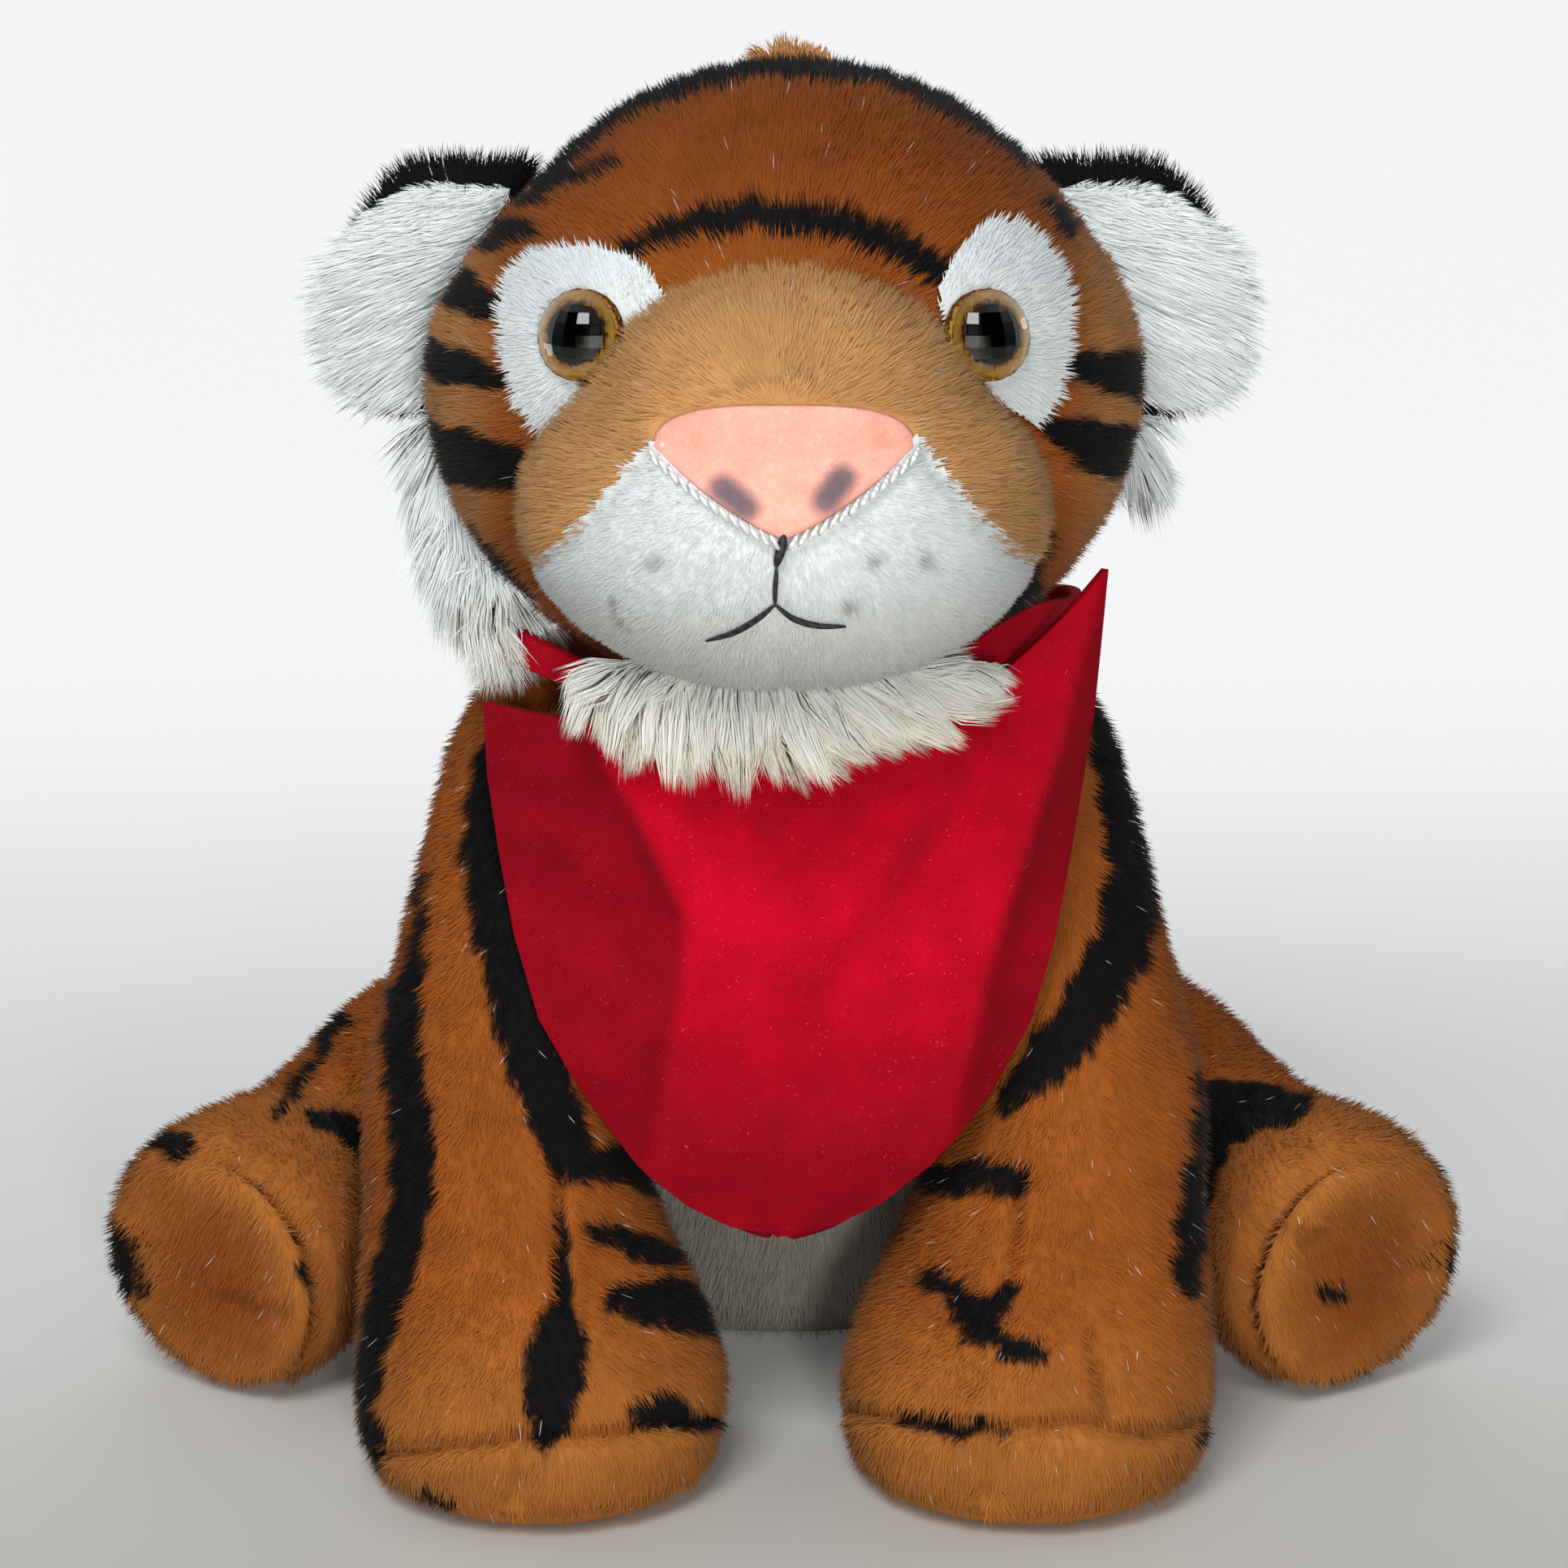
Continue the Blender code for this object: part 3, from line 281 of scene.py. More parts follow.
def swept(middles, halves, around, level=False):
    """A bag round a path: each ring is middle + across*cos + up*sin of the turn, and both ends are points.

    The rings are level, or square to the path."""
    middles, halves = np.asarray(middles), np.asarray(halves)
    ways = np.gradient(middles, axis=0)
    across = np.cross(ways, (0, 0, 1.0)) * (not level) + np.array((1.0, 0, 0)) * level
    across /= np.linalg.norm(across, axis=1)[:, None]
    up = np.cross(across, ways) * (not level) + np.array((0, 1.0, 0)) * level
    up /= np.linalg.norm(up, axis=1)[:, None]
    turn = np.linspace(0, 2 * np.pi, around + 1)[:, None]
    wide = across[:, None] * halves[:, None, :1] * np.cos(turn)
    rings = middles[:, None] + wide + up[:, None] * halves[:, None, 1:] * np.sin(turn)
    ends = [np.repeat(middles[i][None, None], around + 1, axis=1) for i in (0, -1)]
    return np.concatenate((ends[0], rings, ends[1]))


def facing(grid):
    """The outward ways of a closed grid: the cross of its two slopes, one mean way at each end."""
    down = np.gradient(grid, axis=0)
    ring = grid[:, :-1]
    over = np.roll(ring, -1, axis=1) - np.roll(ring, 1, axis=1)
    over = np.concatenate((over, over[:, :1]), axis=1)
    ways = np.cross(over, down)
    ways[0], ways[-1] = ways[1].mean(axis=0), ways[-2].mean(axis=0)
    ways /= np.linalg.norm(ways, axis=2)[..., None] + 1e-12
    return ways * np.sign((ways * (grid - ring.mean(axis=(0, 1)))).sum())


def in_photo(points):
    """Where the camera sees points, in pixels of the photograph, right and down."""
    away = points - VIEW_FROM
    ahead = away[..., 1] * math.cos(VIEW_TILT) - away[..., 2] * math.sin(VIEW_TILT)
    above = away[..., 1] * math.sin(VIEW_TILT) + away[..., 2] * math.cos(VIEW_TILT)
    spots = np.stack((away[..., 0], -above), axis=-1) * PHOTO_FOCUS / ahead[..., None]
    return spots + PHOTO_SIDE / 2


def reach(spots, line):
    """How far spots lie inside a stroke: the most of half width less distance over its stretches."""
    line = np.array(line, dtype=float)
    inside = np.full(spots.shape[:-1], -1e3)
    for start, end in zip(line, line[1:]):
        way = end[:2] - start[:2]
        share = held(((spots - start[:2]) @ way) / (way @ way + 1e-9))
        away = np.linalg.norm(spots - start[:2] - share[..., None] * way, axis=-1)
        inside = np.maximum(inside, start[2] + (end[2] - start[2]) * share - away)
    return inside


def in_front(points, ways):
    """1 where a surface faces the photograph's camera, 0 where it turns away, with a short slope between."""
    toward = VIEW_FROM - points
    toward /= np.linalg.norm(toward, axis=-1)[..., None]
    return held((ways * toward).sum(axis=-1) * 6 + 0.6)


def strokes(points, ways, lines, wobble=3.0):
    """The black share of a surface under dyed strokes, given as (right, down, half width) in photo pixels."""
    spots = in_photo(points)
    spots = spots + wobble * np.sin(spots[..., ::-1] * 0.11) + wobble * 0.6 * np.sin(spots * 0.31 + 2)
    inside = np.max([reach(spots, line) for line in lines], axis=0)
    return held(inside / 6 + 0.5) * in_front(points, ways)


def bars(level, spacing, half, offset=0.0):
    """Bands at one spacing: 1 within half of a band's middle and 0 outside, with a slope of 1 mm."""
    away = np.abs((level - offset + spacing / 2) % spacing - spacing / 2)
    return held((half - away) / 0.001 + 0.5)


def held(share):
    """A share held between none and all."""
    return np.clip(share, 0, 1)


def blended(base, other, share):
    """Colours with another mixed in by its share."""
    return base * (1 - share[:, None]) + other * share[:, None]


def dyed(base, black):
    """Fur colours with black mixed in by its share."""
    return blended(base, BLACK, black)


def skin_of(grid, paint, keep=None):
    """Points, the ways they face, faces, flat places, colours and the count of outer faces of a closed grid.

    The end rows close in one point each. With keep only the faces it picks stay, and get an inner copy 1 mm
    below and walls at their edge."""
    rows, cols = grid.shape[0], grid.shape[1] - 1
    index = np.arange(rows * cols).reshape(rows, cols)
    index[0], index[-1] = index[0, 0], index[-1, 0]
    index = np.concatenate((index, index[:, :1]), axis=1)
    flat = np.stack(np.meshgrid(np.linspace(0, 1, rows), np.linspace(0, 1, cols + 1), indexing="ij"), axis=-1)
    first, last = slice(None, -1), slice(1, None)
    halves = [((first, first), (last, first), (last, last)), ((first, first), (last, last), (first, last))]
    faces = np.concatenate([np.stack([index[p] for p in three], axis=-1).reshape(-1, 3) for three in halves])
    places = [np.stack([flat[p] for p in three], axis=-2).reshape(-1, 3, 2) for three in halves]
    places = np.concatenate(places)
    whole = (faces != np.roll(faces, 1, axis=1)).all(axis=1)
    faces, places = faces[whole], places[whole]
    points = grid[:, :-1].reshape(-1, 3)
    ways = facing(grid)[:, :-1].reshape(-1, 3)
    across = np.cross(points[faces[:, 1]] - points[faces[:, 0]], points[faces[:, 2]] - points[faces[:, 0]])
    if (across * ways[faces[:, 0]]).sum() < 0:
        faces, places = faces[:, ::-1], places[:, ::-1]
    outer = len(faces)
    if keep is not None:
        kept = keep(points[faces].mean(axis=1), ways[faces].mean(axis=1))
        faces, places = faces[kept], places[kept]
        outer = len(faces)
        edges = np.concatenate((faces[:, [0, 1]], faces[:, [1, 2]], faces[:, [2, 0]]))
        code = (len(points), 1)
        a, b = edges[~np.isin(edges @ code, edges[:, ::-1] @ code)].T
        c, d = a + len(points), b + len(points)
        walls = np.concatenate((np.stack((b, a, c), axis=1), np.stack((b, c, d), axis=1)))
        faces = np.concatenate((faces, faces[:, ::-1] + len(points), walls))
        places = np.concatenate((places, places[:, ::-1], np.full((len(walls), 3, 2), 0.002)))
        points = np.concatenate((points, points - ways * CLOTH))
        ways = np.concatenate((ways, -ways))
    used, faces = np.unique(faces, return_inverse=True)
    points, ways = points[used], ways[used]
    return points, ways, faces.reshape(-1, 3), places, paint(points, ways), outer


def plain(colour):
    """A paint of one dye all over."""
    return lambda points, ways: np.broadcast_to(colour, points.shape)


def closed_skin(grid):
    """The points and faces of a closed grid, for a piece with no pile."""
    points, _, faces, *_ = skin_of(grid, plain(WHITE))
    return points, faces


def unit(ways):
    """Ways at a length of one."""
    return ways / np.linalg.norm(ways, axis=-1)[..., None]


def fur(name, grid, paint, material, length, lean, nap, per_mm2, width, seed, keep=None, where=None, bend=0.0,
        clump=0.0):
    """A furred piece: its skin with strands that stand on it, each a closed spike on three corners.

    Roots are spread evenly by area. A strand leaves along the way out of the skin, laid over by lean along
    the nap, with a little of its own direction; bend gives it a second, more laid over length, and clump
    draws its tip toward the tip of its tuft's middle strand. Long bent pile catches the light from above."""
    points, ways, faces, places, colours, outer = skin_of(grid, paint, keep)
    lot = np.random.default_rng(seed)
    corners = points[faces[:outer]]
    areas = np.linalg.norm(np.cross(corners[:, 1] - corners[:, 0], corners[:, 2] - corners[:, 0]), axis=1) / 2
    count = int(areas.sum() * 1e6 * per_mm2)
    chosen = np.searchsorted(np.cumsum(areas) / areas.sum(), lot.random(count)).clip(0, outer - 1)
    shares = np.sort(lot.random((count, 2)), axis=1)
    shares = np.stack((shares[:, 0], shares[:, 1] - shares[:, 0], 1 - shares[:, 1]), axis=1)[..., None]
    roots = (corners[chosen] * shares).sum(axis=1)
    out = unit((ways[faces[chosen]] * shares).sum(axis=1))
    spots = (places[chosen] * shares).sum(axis=1)
    if where is not None:
        kept = where(roots, out) > lot.random(count)
        roots, out, spots = roots[kept], out[kept], spots[kept]
    count = len(roots)
    combed = nap(roots, out)
    combed = combed - out * (combed * out).sum(axis=1)[:, None]
    combed /= np.linalg.norm(combed, axis=1)[:, None] + 1e-9
    waves = np.sin(roots * 900 + 1) + np.sin(roots[:, [1, 2, 0]] * 1400 + 3)
    stray = lot.normal(size=(count, 3)) * STRAY + waves * TUFTED
    far = (length(roots)[:, None] if callable(length) else length) * lot.uniform(0.65, 1.1, (count, 1))
    first = unit(out * math.cos(lean) + combed * math.sin(lean) + stray)
    second = unit(first + combed * bend)
    knee = roots + first * far * 0.5
    tips = knee + second * far * 0.5
    if clump:
        leaders = lot.choice(count, max(1, int(count * LEADERS)), replace=False)
        near = [((roots[i:i + 2000, None] - roots[leaders]) ** 2).sum(axis=2).argmin(axis=1)
                for i in range(0, count, 2000)]
        near = leaders[np.concatenate(near)]
        tips += (tips[near] - tips) * clump
        knee += (tips[near] - tips + (knee[near] - knee)) * clump * 0.35
    side = unit(np.cross(out, first + 1e-4))
    other = np.cross(first, side)
    turns = lot.random(count)[:, None] * 2.1 + np.array([0, 2.1, 4.2])
    rounds = side[:, None] * np.cos(turns)[..., None] + other[:, None] * np.sin(turns)[..., None]
    wide = width / 2 * lot.uniform(0.7, 1.2, (count, 1, 1))
    rings = [roots[:, None] + rounds * wide - out[:, None] * 0.0002]
    if bend:
        rings.append(knee[:, None] + rounds * wide * 0.75)
    strand = np.concatenate((*rings, tips[:, None]), axis=1)
    each = strand.shape[1]
    top = each - 4
    walls = [(top, top + 1, each - 1), (top + 1, top + 2, each - 1), (top + 2, top, each - 1), (0, 2, 1)]
    if bend:
        walls += [(i, (i + 1) % 3, (i + 1) % 3 + 3) for i in range(3)]
        walls += [(i, (i + 1) % 3 + 3, i + 3) for i in range(3)]
    walls = np.array(walls)
    wrong = (np.cross(rounds[:, 1] - rounds[:, 0], rounds[:, 2] - rounds[:, 0]) * out).sum(axis=1) < 0
    spikes = np.where(wrong[:, None, None], walls[:, ::-1], walls) + (np.arange(count) * each)[:, None, None]
    own = paint(roots, out) * lot.normal(1, 0.045, (count, 1)).clip(0.7, 1.4)
    # Painted shade and light along each strand: the root is darkened to 0.84 for the shade deep in the pile,
    # and the tip is lightened to 1.10.
    fade = np.concatenate((np.full(3, 0.84), np.full(each - 4, 1.00), [1.10]))
    dyes_with_painted_light = own[:, None] * fade[None, :, None]
    # Painted glints: a few strands get a pale tip that stands in for sparkle of light on the fibres.
    dyes_with_painted_light[lot.random(count) < PAINTED_GLINT_SHARE, -1] = PAINTED_GLINT
    all_points = np.concatenate((points, strand.reshape(-1, 3)))
    all_faces = np.concatenate((faces, spikes.reshape(-1, 3) + len(points)))
    made = mesh_piece(name, all_points, all_faces, material)
    tint = np.ones((len(all_points), 4), dtype=np.float32)
    # Painted shade: the skin under the pile is darkened to 0.85 of its paint.
    tint[:, :3] = np.concatenate((colours * 0.85, dyes_with_painted_light.reshape(-1, 3))).clip(0, 1)
    made.data.color_attributes.new("dye", "FLOAT_COLOR", "POINT").data.foreach_set("color", tint.ravel())
    soft = out[:, None] * (0.45 if bend else 0.8) + rounds * 0.45
    if bend > LONG_BEND:
        soft = soft + np.array(LONG_LIT)
    end = soft.mean(axis=1)[:, None] + first[:, None] * 0.3
    soft = np.concatenate((*[soft] * len(rings), end), axis=1).reshape(-1, 3)
    made.data.normals_split_custom_set_from_vertices(np.concatenate((ways, soft)).tolist())
    flat = spots[:, None, None] + np.array(((0, 0), (0.0012, 0), (0, 0.0012)))
    flat = np.broadcast_to(flat, (count, len(walls), 3, 2)).reshape(-1, 3, 2)
    flat = np.concatenate((places, flat)).astype(np.float32)
    made.data.uv_layers.new(name="OFBake").data.foreach_set("uv", flat.ravel())
    return made


def dye_in(tree):
    """The colour that a mesh carries at each of its points."""
    return node(tree, "Attribute", attribute_name="dye").outputs["Color"]


def fur_material(name, mottle):
    """Dyed polyester pile: the fibres carry their dye, with painted shade at the roots and painted glints at
    a few tips, and a mottle from 11 mm down parts them into tufts.
    """
    made, tree, shader, place = surface(name, Roughness=0.9, Sheen_Weight=0.03, Specular_IOR_Level=0.18)
    depth = ranged(tree, noise(tree, place, 90.0, 6.0, Roughness=0.65), 0.3, 0.7, 1 - mottle, 1 + mottle)
    tree.links.new(mixed(tree, 1, dye_in(tree), depth, "MULTIPLY"), shader.inputs["Base Color"])
    return made


def down(points, ways):
    """The nap of the body: down, and a little outward from the middle."""
    x, _, z = points.T
    return np.stack((np.sign(x) * 0.12, z * 0, z * 0 - 1), axis=1)


plush = fur_material("short_plush", 0.17)
velour = fur_material("white_velour", 0.04)
PILE, PILE_LEAN, PILE_WIDE, SKIN_BELOW = 0.0027, math.radians(52), 0.00028, 0.0006
STRAY, TUFTED, LEADERS, PAINTED_GLINT_SHARE, PAINTED_GLINT = 0.15, 0.09, 0.012, 0.003, 0.80
LONG_BEND, LONG_LIT = 0.35, (0, -0.40, 0.20)


def torso_skin(grow, rows=90, around=110):
    """The bag through the torso's stations, level rings from the seat to the neck."""
    stations = [(0, y * TORSO_BACK, z * TORSO_HEIGHT, wide * TORSO_WIDE + grow, deep * TORSO_DEEP + grow)
                for z, y, wide, deep in TORSO_STATIONS]
    stations = eased(stations, rows)
    grid = swept(stations[:, :3], stations[:, 3:], around, level=True)
    grid[..., 2] = np.maximum(grid[..., 2], GROUND)
    return grid


HAUNCH_LINES = (((500, 1190, 8), (430, 1260, 9), (350, 1370, 9)),)


def torso_paint(points, ways):
    """Orange, with white greyed by painted shade behind the belly, with waved stripes across the back that
    thin out at the flanks.
    """
    x, _, z = points.T
    out = np.abs(x)
    back = 1 - in_front(points, ways)
    black = bars(z + out * 0.35 + 0.0015 * np.sin(x * 160), 0.0165, 0.0030 - out * 0.028) * back
    under = held((0.024 - out) / 0.003) * (1 - back) * held((0.045 - z) / 0.004)
    return dyed(blended(ORANGE, SHADED_WHITE, under), np.maximum(black, strokes(points, ways, HAUNCH_LINES)))


def clear_of_table(points, ways):
    """No strands where the toy rests on the table."""
    return (points[:, 2] > 0.0022) * 1.0


def thinner_behind(ways):
    """Six strands in ten where the skin faces back, so that the toy stays under two million triangles."""
    return 1 - 0.4 * held(ways[:, 1] * 3)


torso = fur("torso_fur", torso_skin(-SKIN_BELOW), torso_paint, plush, PILE, PILE_LEAN, down, 3.0,
            PILE_WIDE, 1, where=lambda p, n: clear_of_table(p, n) * (p[:, 2] < 0.100) * thinner_behind(n))
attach(torso, "torso")
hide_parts("torso_skin", "torso_filling", "seat_bean_bag")


# Belly: a panel of white short plush, sewn into the front of the torso, and greyed all over by painted shade.
BELLY_WIDE, BELLY_LOW, BELLY_HIGH, BELLY_CLOTH = 0.021, 0.007, 0.060, 0.0012


def on_belly(points, ways):
    """The panel's outline from in front: upright sides, and upper corners cut at 45 degrees."""
    x, _, z = points.T
    corner = BELLY_HIGH - held(np.abs(x) - BELLY_WIDE / 2)
    return (np.abs(x) < BELLY_WIDE) & (z > BELLY_LOW) & (z < corner) & (ways[:, 1] < 0)


belly = fur("belly_fur", torso_skin(GAP + BELLY_CLOTH), plain(SHADED_WHITE), velour, 0.0030, PILE_LEAN, down, 3.0,
            PILE_WIDE, 2, keep=on_belly)
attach(belly, "torso")
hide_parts("belly_panel")


# Neck: a plug of stuffing on which the head turns, inside the torso's fur.
PLUG_RADIUS, PLUG_LOW, PLUG_HIGH = 0.0125, 0.0935, 0.0995
wadding, tree, shader, place = surface("polyester_wadding", Roughness=0.95)
tone = ramp(tree, noise(tree, place, 400.0, 4.0), (0.0, "#C9C8C4"), (1.0, "#EFEEEA"))
tree.links.new(tone, shader.inputs["Base Color"])
levels = np.linspace(PLUG_LOW, PLUG_HIGH, 10)
puffed = PLUG_RADIUS * (0.82 + 0.18 * np.sin(np.linspace(0, np.pi, 10)))
middles = np.stack((levels * 0, levels * 0, levels), axis=1)
points, faces = closed_skin(swept(middles, np.stack((puffed, puffed), axis=1), 32, level=True))
plug = mesh_piece("neck_stuffing", points, faces, wadding)
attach(plug, "neck")
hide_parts("neck_plug")


# Head: a round stuffed skull of short plush on a ball neck.
# Dyed stripes go over the crown and the brow, and bands run round both cheeks to the back.
SKULL_MIDDLE = np.array((0.0, -0.014, 0.146))
SKULL_HALVES = np.array((0.048, 0.040, 0.0425))
NECK_MIDDLE, NECK_RADIUS = np.array((0.0, 0.0, 0.130)), 0.030
CROWN_BAND, CROWN_HALF, CROWN_FOOT = -0.0135, 0.0085, 0.1705
HEAD_LINES = (
    ((775, 314, 10), (820, 292, 18), (870, 277, 20), (950, 268, 21), (1040, 285, 21), (1110, 312, 22),
     (1172, 350, 14)),
    ((644, 260, 6), (672, 242, 9), (700, 228, 10), (735, 212, 9), (764, 205, 5)),
    ((1290, 258, 13), (1312, 288, 10)),
    ((568, 300, 12), (605, 291, 21), (635, 291, 17), (660, 290, 12)),
    ((545, 345, 16), (570, 360, 26), (598, 374, 24), (620, 384, 14)),
    ((518, 428, 26), (550, 448, 24), (590, 458, 20), (628, 470, 12)),
    ((512, 530, 28), (552, 556, 34), (600, 568, 34), (648, 580, 26)),
    ((552, 640, 16), (575, 665, 24), (605, 700, 28), (645, 740, 24)),
    ((1320, 452, 18), (1360, 458, 28), (1410, 468, 34)),
    ((1288, 525, 16), (1345, 550, 36), (1400, 565, 30)),
    ((1278, 655, 12), (1262, 700, 20), (1243, 765, 22)),
)


def star(middle, ovals, rows, around, sharp=12):
    """A closed form about a middle: along each way out of it, the power mean of its ovals' reaches.

    An oval's reach is the greater root of |(middle + way*r - its middle) / its halves| = 1."""
    tilt = np.linspace(-np.pi / 2, np.pi / 2, rows)[:, None]
    turn = np.linspace(0, 2 * np.pi, around + 1)[None]
    flat = np.cos(tilt)
    way = np.stack((flat * np.cos(turn), flat * np.sin(turn), np.sin(tilt) + 0 * turn), axis=-1)
    total = 0
    for place, halves in ovals:
        step, start = way / halves, (middle - place) / halves
        a, b, c = (step**2).sum(-1), (step * start).sum(-1), (start**2).sum() - 1
        total = total + ((-b + np.sqrt(np.maximum(b * b - a * c, 0))) / a) ** sharp
    return middle + way * total[..., None] ** (1 / sharp)


def head_skin(grow, rows=110, around=140):
    """The skull and the neck's ball as one form, drawn in at both sides toward the crown."""
    ovals = ((SKULL_MIDDLE, SKULL_HALVES + grow), (NECK_MIDDLE, np.full(3, NECK_RADIUS + grow)))
    grid = star(SKULL_MIDDLE, ovals, rows, around)
    high = held((grid[..., 2] - 0.150) / 0.026)
    grid[..., 0] *= 1 - 0.105 * high * high * (3 - 2 * high)
    grid[..., 0] += 0.0012 * high
    return grid


def head_paint(points, ways):
    """Orange, rusty on the crown, sandy at the cheeks' rims, under a black band, rings and strokes."""
    x, y, z = points.T
    base = blended(ORANGE, RUST, held((z - 0.158) / 0.02))
    base = blended(base, SAND, np.clip((np.abs(x) - 0.036) / 0.010, 0, 0.6))
    crown = held((CROWN_HALF - np.abs(y - CROWN_BAND + 0.0008 * np.sin(x * 400))) / 0.0012 + 0.5)
    crown *= held((z - CROWN_FOOT - 0.10 * np.maximum(x, 0)) / 0.001)
    rings = bars(z + 0.0020 * np.sin(x * 130) - 0.12 * y, 0.0135, 0.0029 - held(z - 0.17) * 0.1)
    rings *= (1 - in_front(points, ways)) * held((z - 0.112) / 0.002) * held((0.181 - z) / 0.002)
    return dyed(base, np.maximum.reduce((crown, rings, strokes(points, ways, HEAD_LINES))))


def back_and_down(points, ways):
    """The nap of the head: away from the nose, over the crown and down the cheeks."""
    way = points - np.array((0, -0.075, 0.150))
    way[:, 2] *= 0.6
    return way


def head_open(points, ways):
    """No strands under the snout and inside the neck."""
    x, _, z = points.T
    snout = (np.hypot(x / 0.030, (z - 0.138) / 0.024) < 1) & (ways[:, 1] < -0.2)
    return (1.0 - (snout | (z < 0.108))) * thinner_behind(ways)


head = fur("head_fur", head_skin(-SKIN_BELOW), head_paint, plush, PILE, PILE_LEAN, back_and_down, 4.4,
           PILE_WIDE, 3, where=head_open)
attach(head, "head")
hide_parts("head_skin", "head_filling")


# A wisp of sandy pile on the crown, caught in the seam behind the black band
TUFT_MIDDLE, TUFT_HALVES = np.array((0.0014, -0.0020, 0.1866)), np.array((0.0058, 0.0022, 0.0012))


def fanned(points, ways):
    """The nap of the wisp: up, and spread from its middle."""
    return (points - TUFT_MIDDLE) * (120, 60, 0) + np.array((0.0, 0.3, 1.0))


def wispy(points):
    """The wisp is longest over its left third and runs out to the right."""
    return 0.0022 + 0.0026 * np.exp(-(((points[:, 0] - TUFT_MIDDLE[0] + 0.0026) / 0.0030) ** 2))


tuft = fur("crown_tuft", star(TUFT_MIDDLE, ((TUFT_MIDDLE, TUFT_HALVES),), 20, 30), plain(TUFT), plush, wispy,
           math.radians(40), fanned, 6.0, 0.00022, 8, bend=0.3, clump=0.3)
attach(tuft, "head")


# Snout: a tan panel of close plush over the bridge, and two white halves of velour below the nose.
# The three are sewn edge to edge, and the seams sink a little into the pile.
SNOUT_MIDDLE = np.array((0.0, -0.044, 0.141))
MUZZLE = (np.array((0.0, -0.047, 0.1355)), np.array((0.034, 0.032, 0.0225)))
BRIDGE = (np.array((0.0, -0.046, 0.1485)), np.array((0.025, 0.028, 0.0190)))
NOSE_WIDE, NOSE_TIP, NOSE_RISE, NOSE_CROWN = 0.0166, 0.1390, 0.0096, 0.0158
CHEEK_OUT, CHEEK_DROP, TUCK = 0.038, 0.026, 0.0011
FLECK_LINES = (((880, 488, 4), (985, 462, 5), (1010, 480, 3)), ((1115, 380, 3), (1112, 405, 3)))
WHISKER_DOTS, DOT_RADIUS = ((812, 692), (1075, 690), (1140, 690), (1045, 748)), 11
SMILE_LINE = ((757, 738, 3), (762, 760, 4), (778, 778, 2))


def nose_arch(out):
    """The height of the nose's upper edge: a flat arch between its corners."""
    arch = held(1 - np.abs(out / NOSE_WIDE) ** 2.6) ** 0.5
    return NOSE_TIP + NOSE_RISE + (NOSE_CROWN - NOSE_RISE) * arch


def seam_height(out):
    """The height of the tan panel's lower seam: over the nose as an arch, then down both cheeks."""
    out = np.abs(out)
    cheek = NOSE_TIP + NOSE_RISE - CHEEK_DROP * (out - NOSE_WIDE) / (CHEEK_OUT - NOSE_WIDE)
    return np.where(out < NOSE_WIDE, nose_arch(out), cheek)


def nose_edge(out):
    """The height of the nose's two lower edges, which swell a little and meet in its tip."""
    return NOSE_TIP + NOSE_RISE * np.abs(out / NOSE_WIDE) ** 1.22


def snout_skin(grow, rows=110, around=150):
    """The snout's form, with its seams pressed in by 0.7 mm."""
    ovals = [(middle, halves + grow) for middle, halves in (MUZZLE, BRIDGE)]
    grid = star(SNOUT_MIDDLE, ovals, rows, around, 14)
    front = grid[..., 1] < -0.045
    away = np.abs(grid[..., 2] - seam_height(grid[..., 0]))
    split = np.where(grid[..., 2] < NOSE_TIP, np.abs(grid[..., 0]), 1)
    press = 0.0007 * (np.exp(-(away / 0.0012) ** 2) + np.exp(-(split / 0.0012) ** 2)) * front
    return grid + facing(grid) * -press[..., None]


def is_tan(points, ways):
    """The tan panel: above its seam, in front of the skull."""
    x, _, z = points.T
    return (z > seam_height(x) - TUCK) & clear_of_skull(points)


def is_white(side):
    """One white half: below the seam and the nose, on its side of the middle."""
    def inside(points, ways):
        x, _, z = points.T
        below = np.where(np.abs(x) < NOSE_WIDE, nose_edge(x), seam_height(x))
        return (z < below + TUCK) & (x * side > 0) & clear_of_skull(points)
    return inside


def clear_of_nose(points, ways):
    """No strands where the nose lies on the panels, whose edges are tucked under it."""
    x, y, z = points.T
    under_nose = (np.abs(x) < NOSE_WIDE) & (z > nose_edge(x)) & (z < nose_arch(x))
    return 1.0 - under_nose * (y < -0.06)


def clear_of_skull(points):
    """Whether points are outside the skull's oval."""
    return (((points - SKULL_MIDDLE) / (SKULL_HALVES - 0.001)) ** 2).sum(axis=1) > 1


def snout_paint(points, ways):
    """Tan, rustier by the skull, with faint dark flecks over the nose."""
    edge = np.clip((((points - SKULL_MIDDLE) / SKULL_HALVES) ** 2).sum(axis=1) - 1, 0, 0.6) / 0.6
    base = blended(SAND, ORANGE, 0.22 - 0.22 * edge)
    flecks = np.max([reach(in_photo(points), line) for line in FLECK_LINES], axis=0)
    return dyed(base, held(flecks / 6 + 0.5) * 0.25)


def airbrushed(points, ways):
    """White, with the grey dots of the whiskers' roots and the soft blue-grey shade beside the mouth."""
    spots = in_photo(points)
    grey = sum(np.exp(-(np.linalg.norm(spots - dot, axis=1) / DOT_RADIUS) ** 2) for dot in WHISKER_DOTS)
    smile = held(reach(spots, SMILE_LINE) / 6 + 0.5)
    return WHITE * (1 - 0.50 * held(grey + smile * 0.9))[:, None]


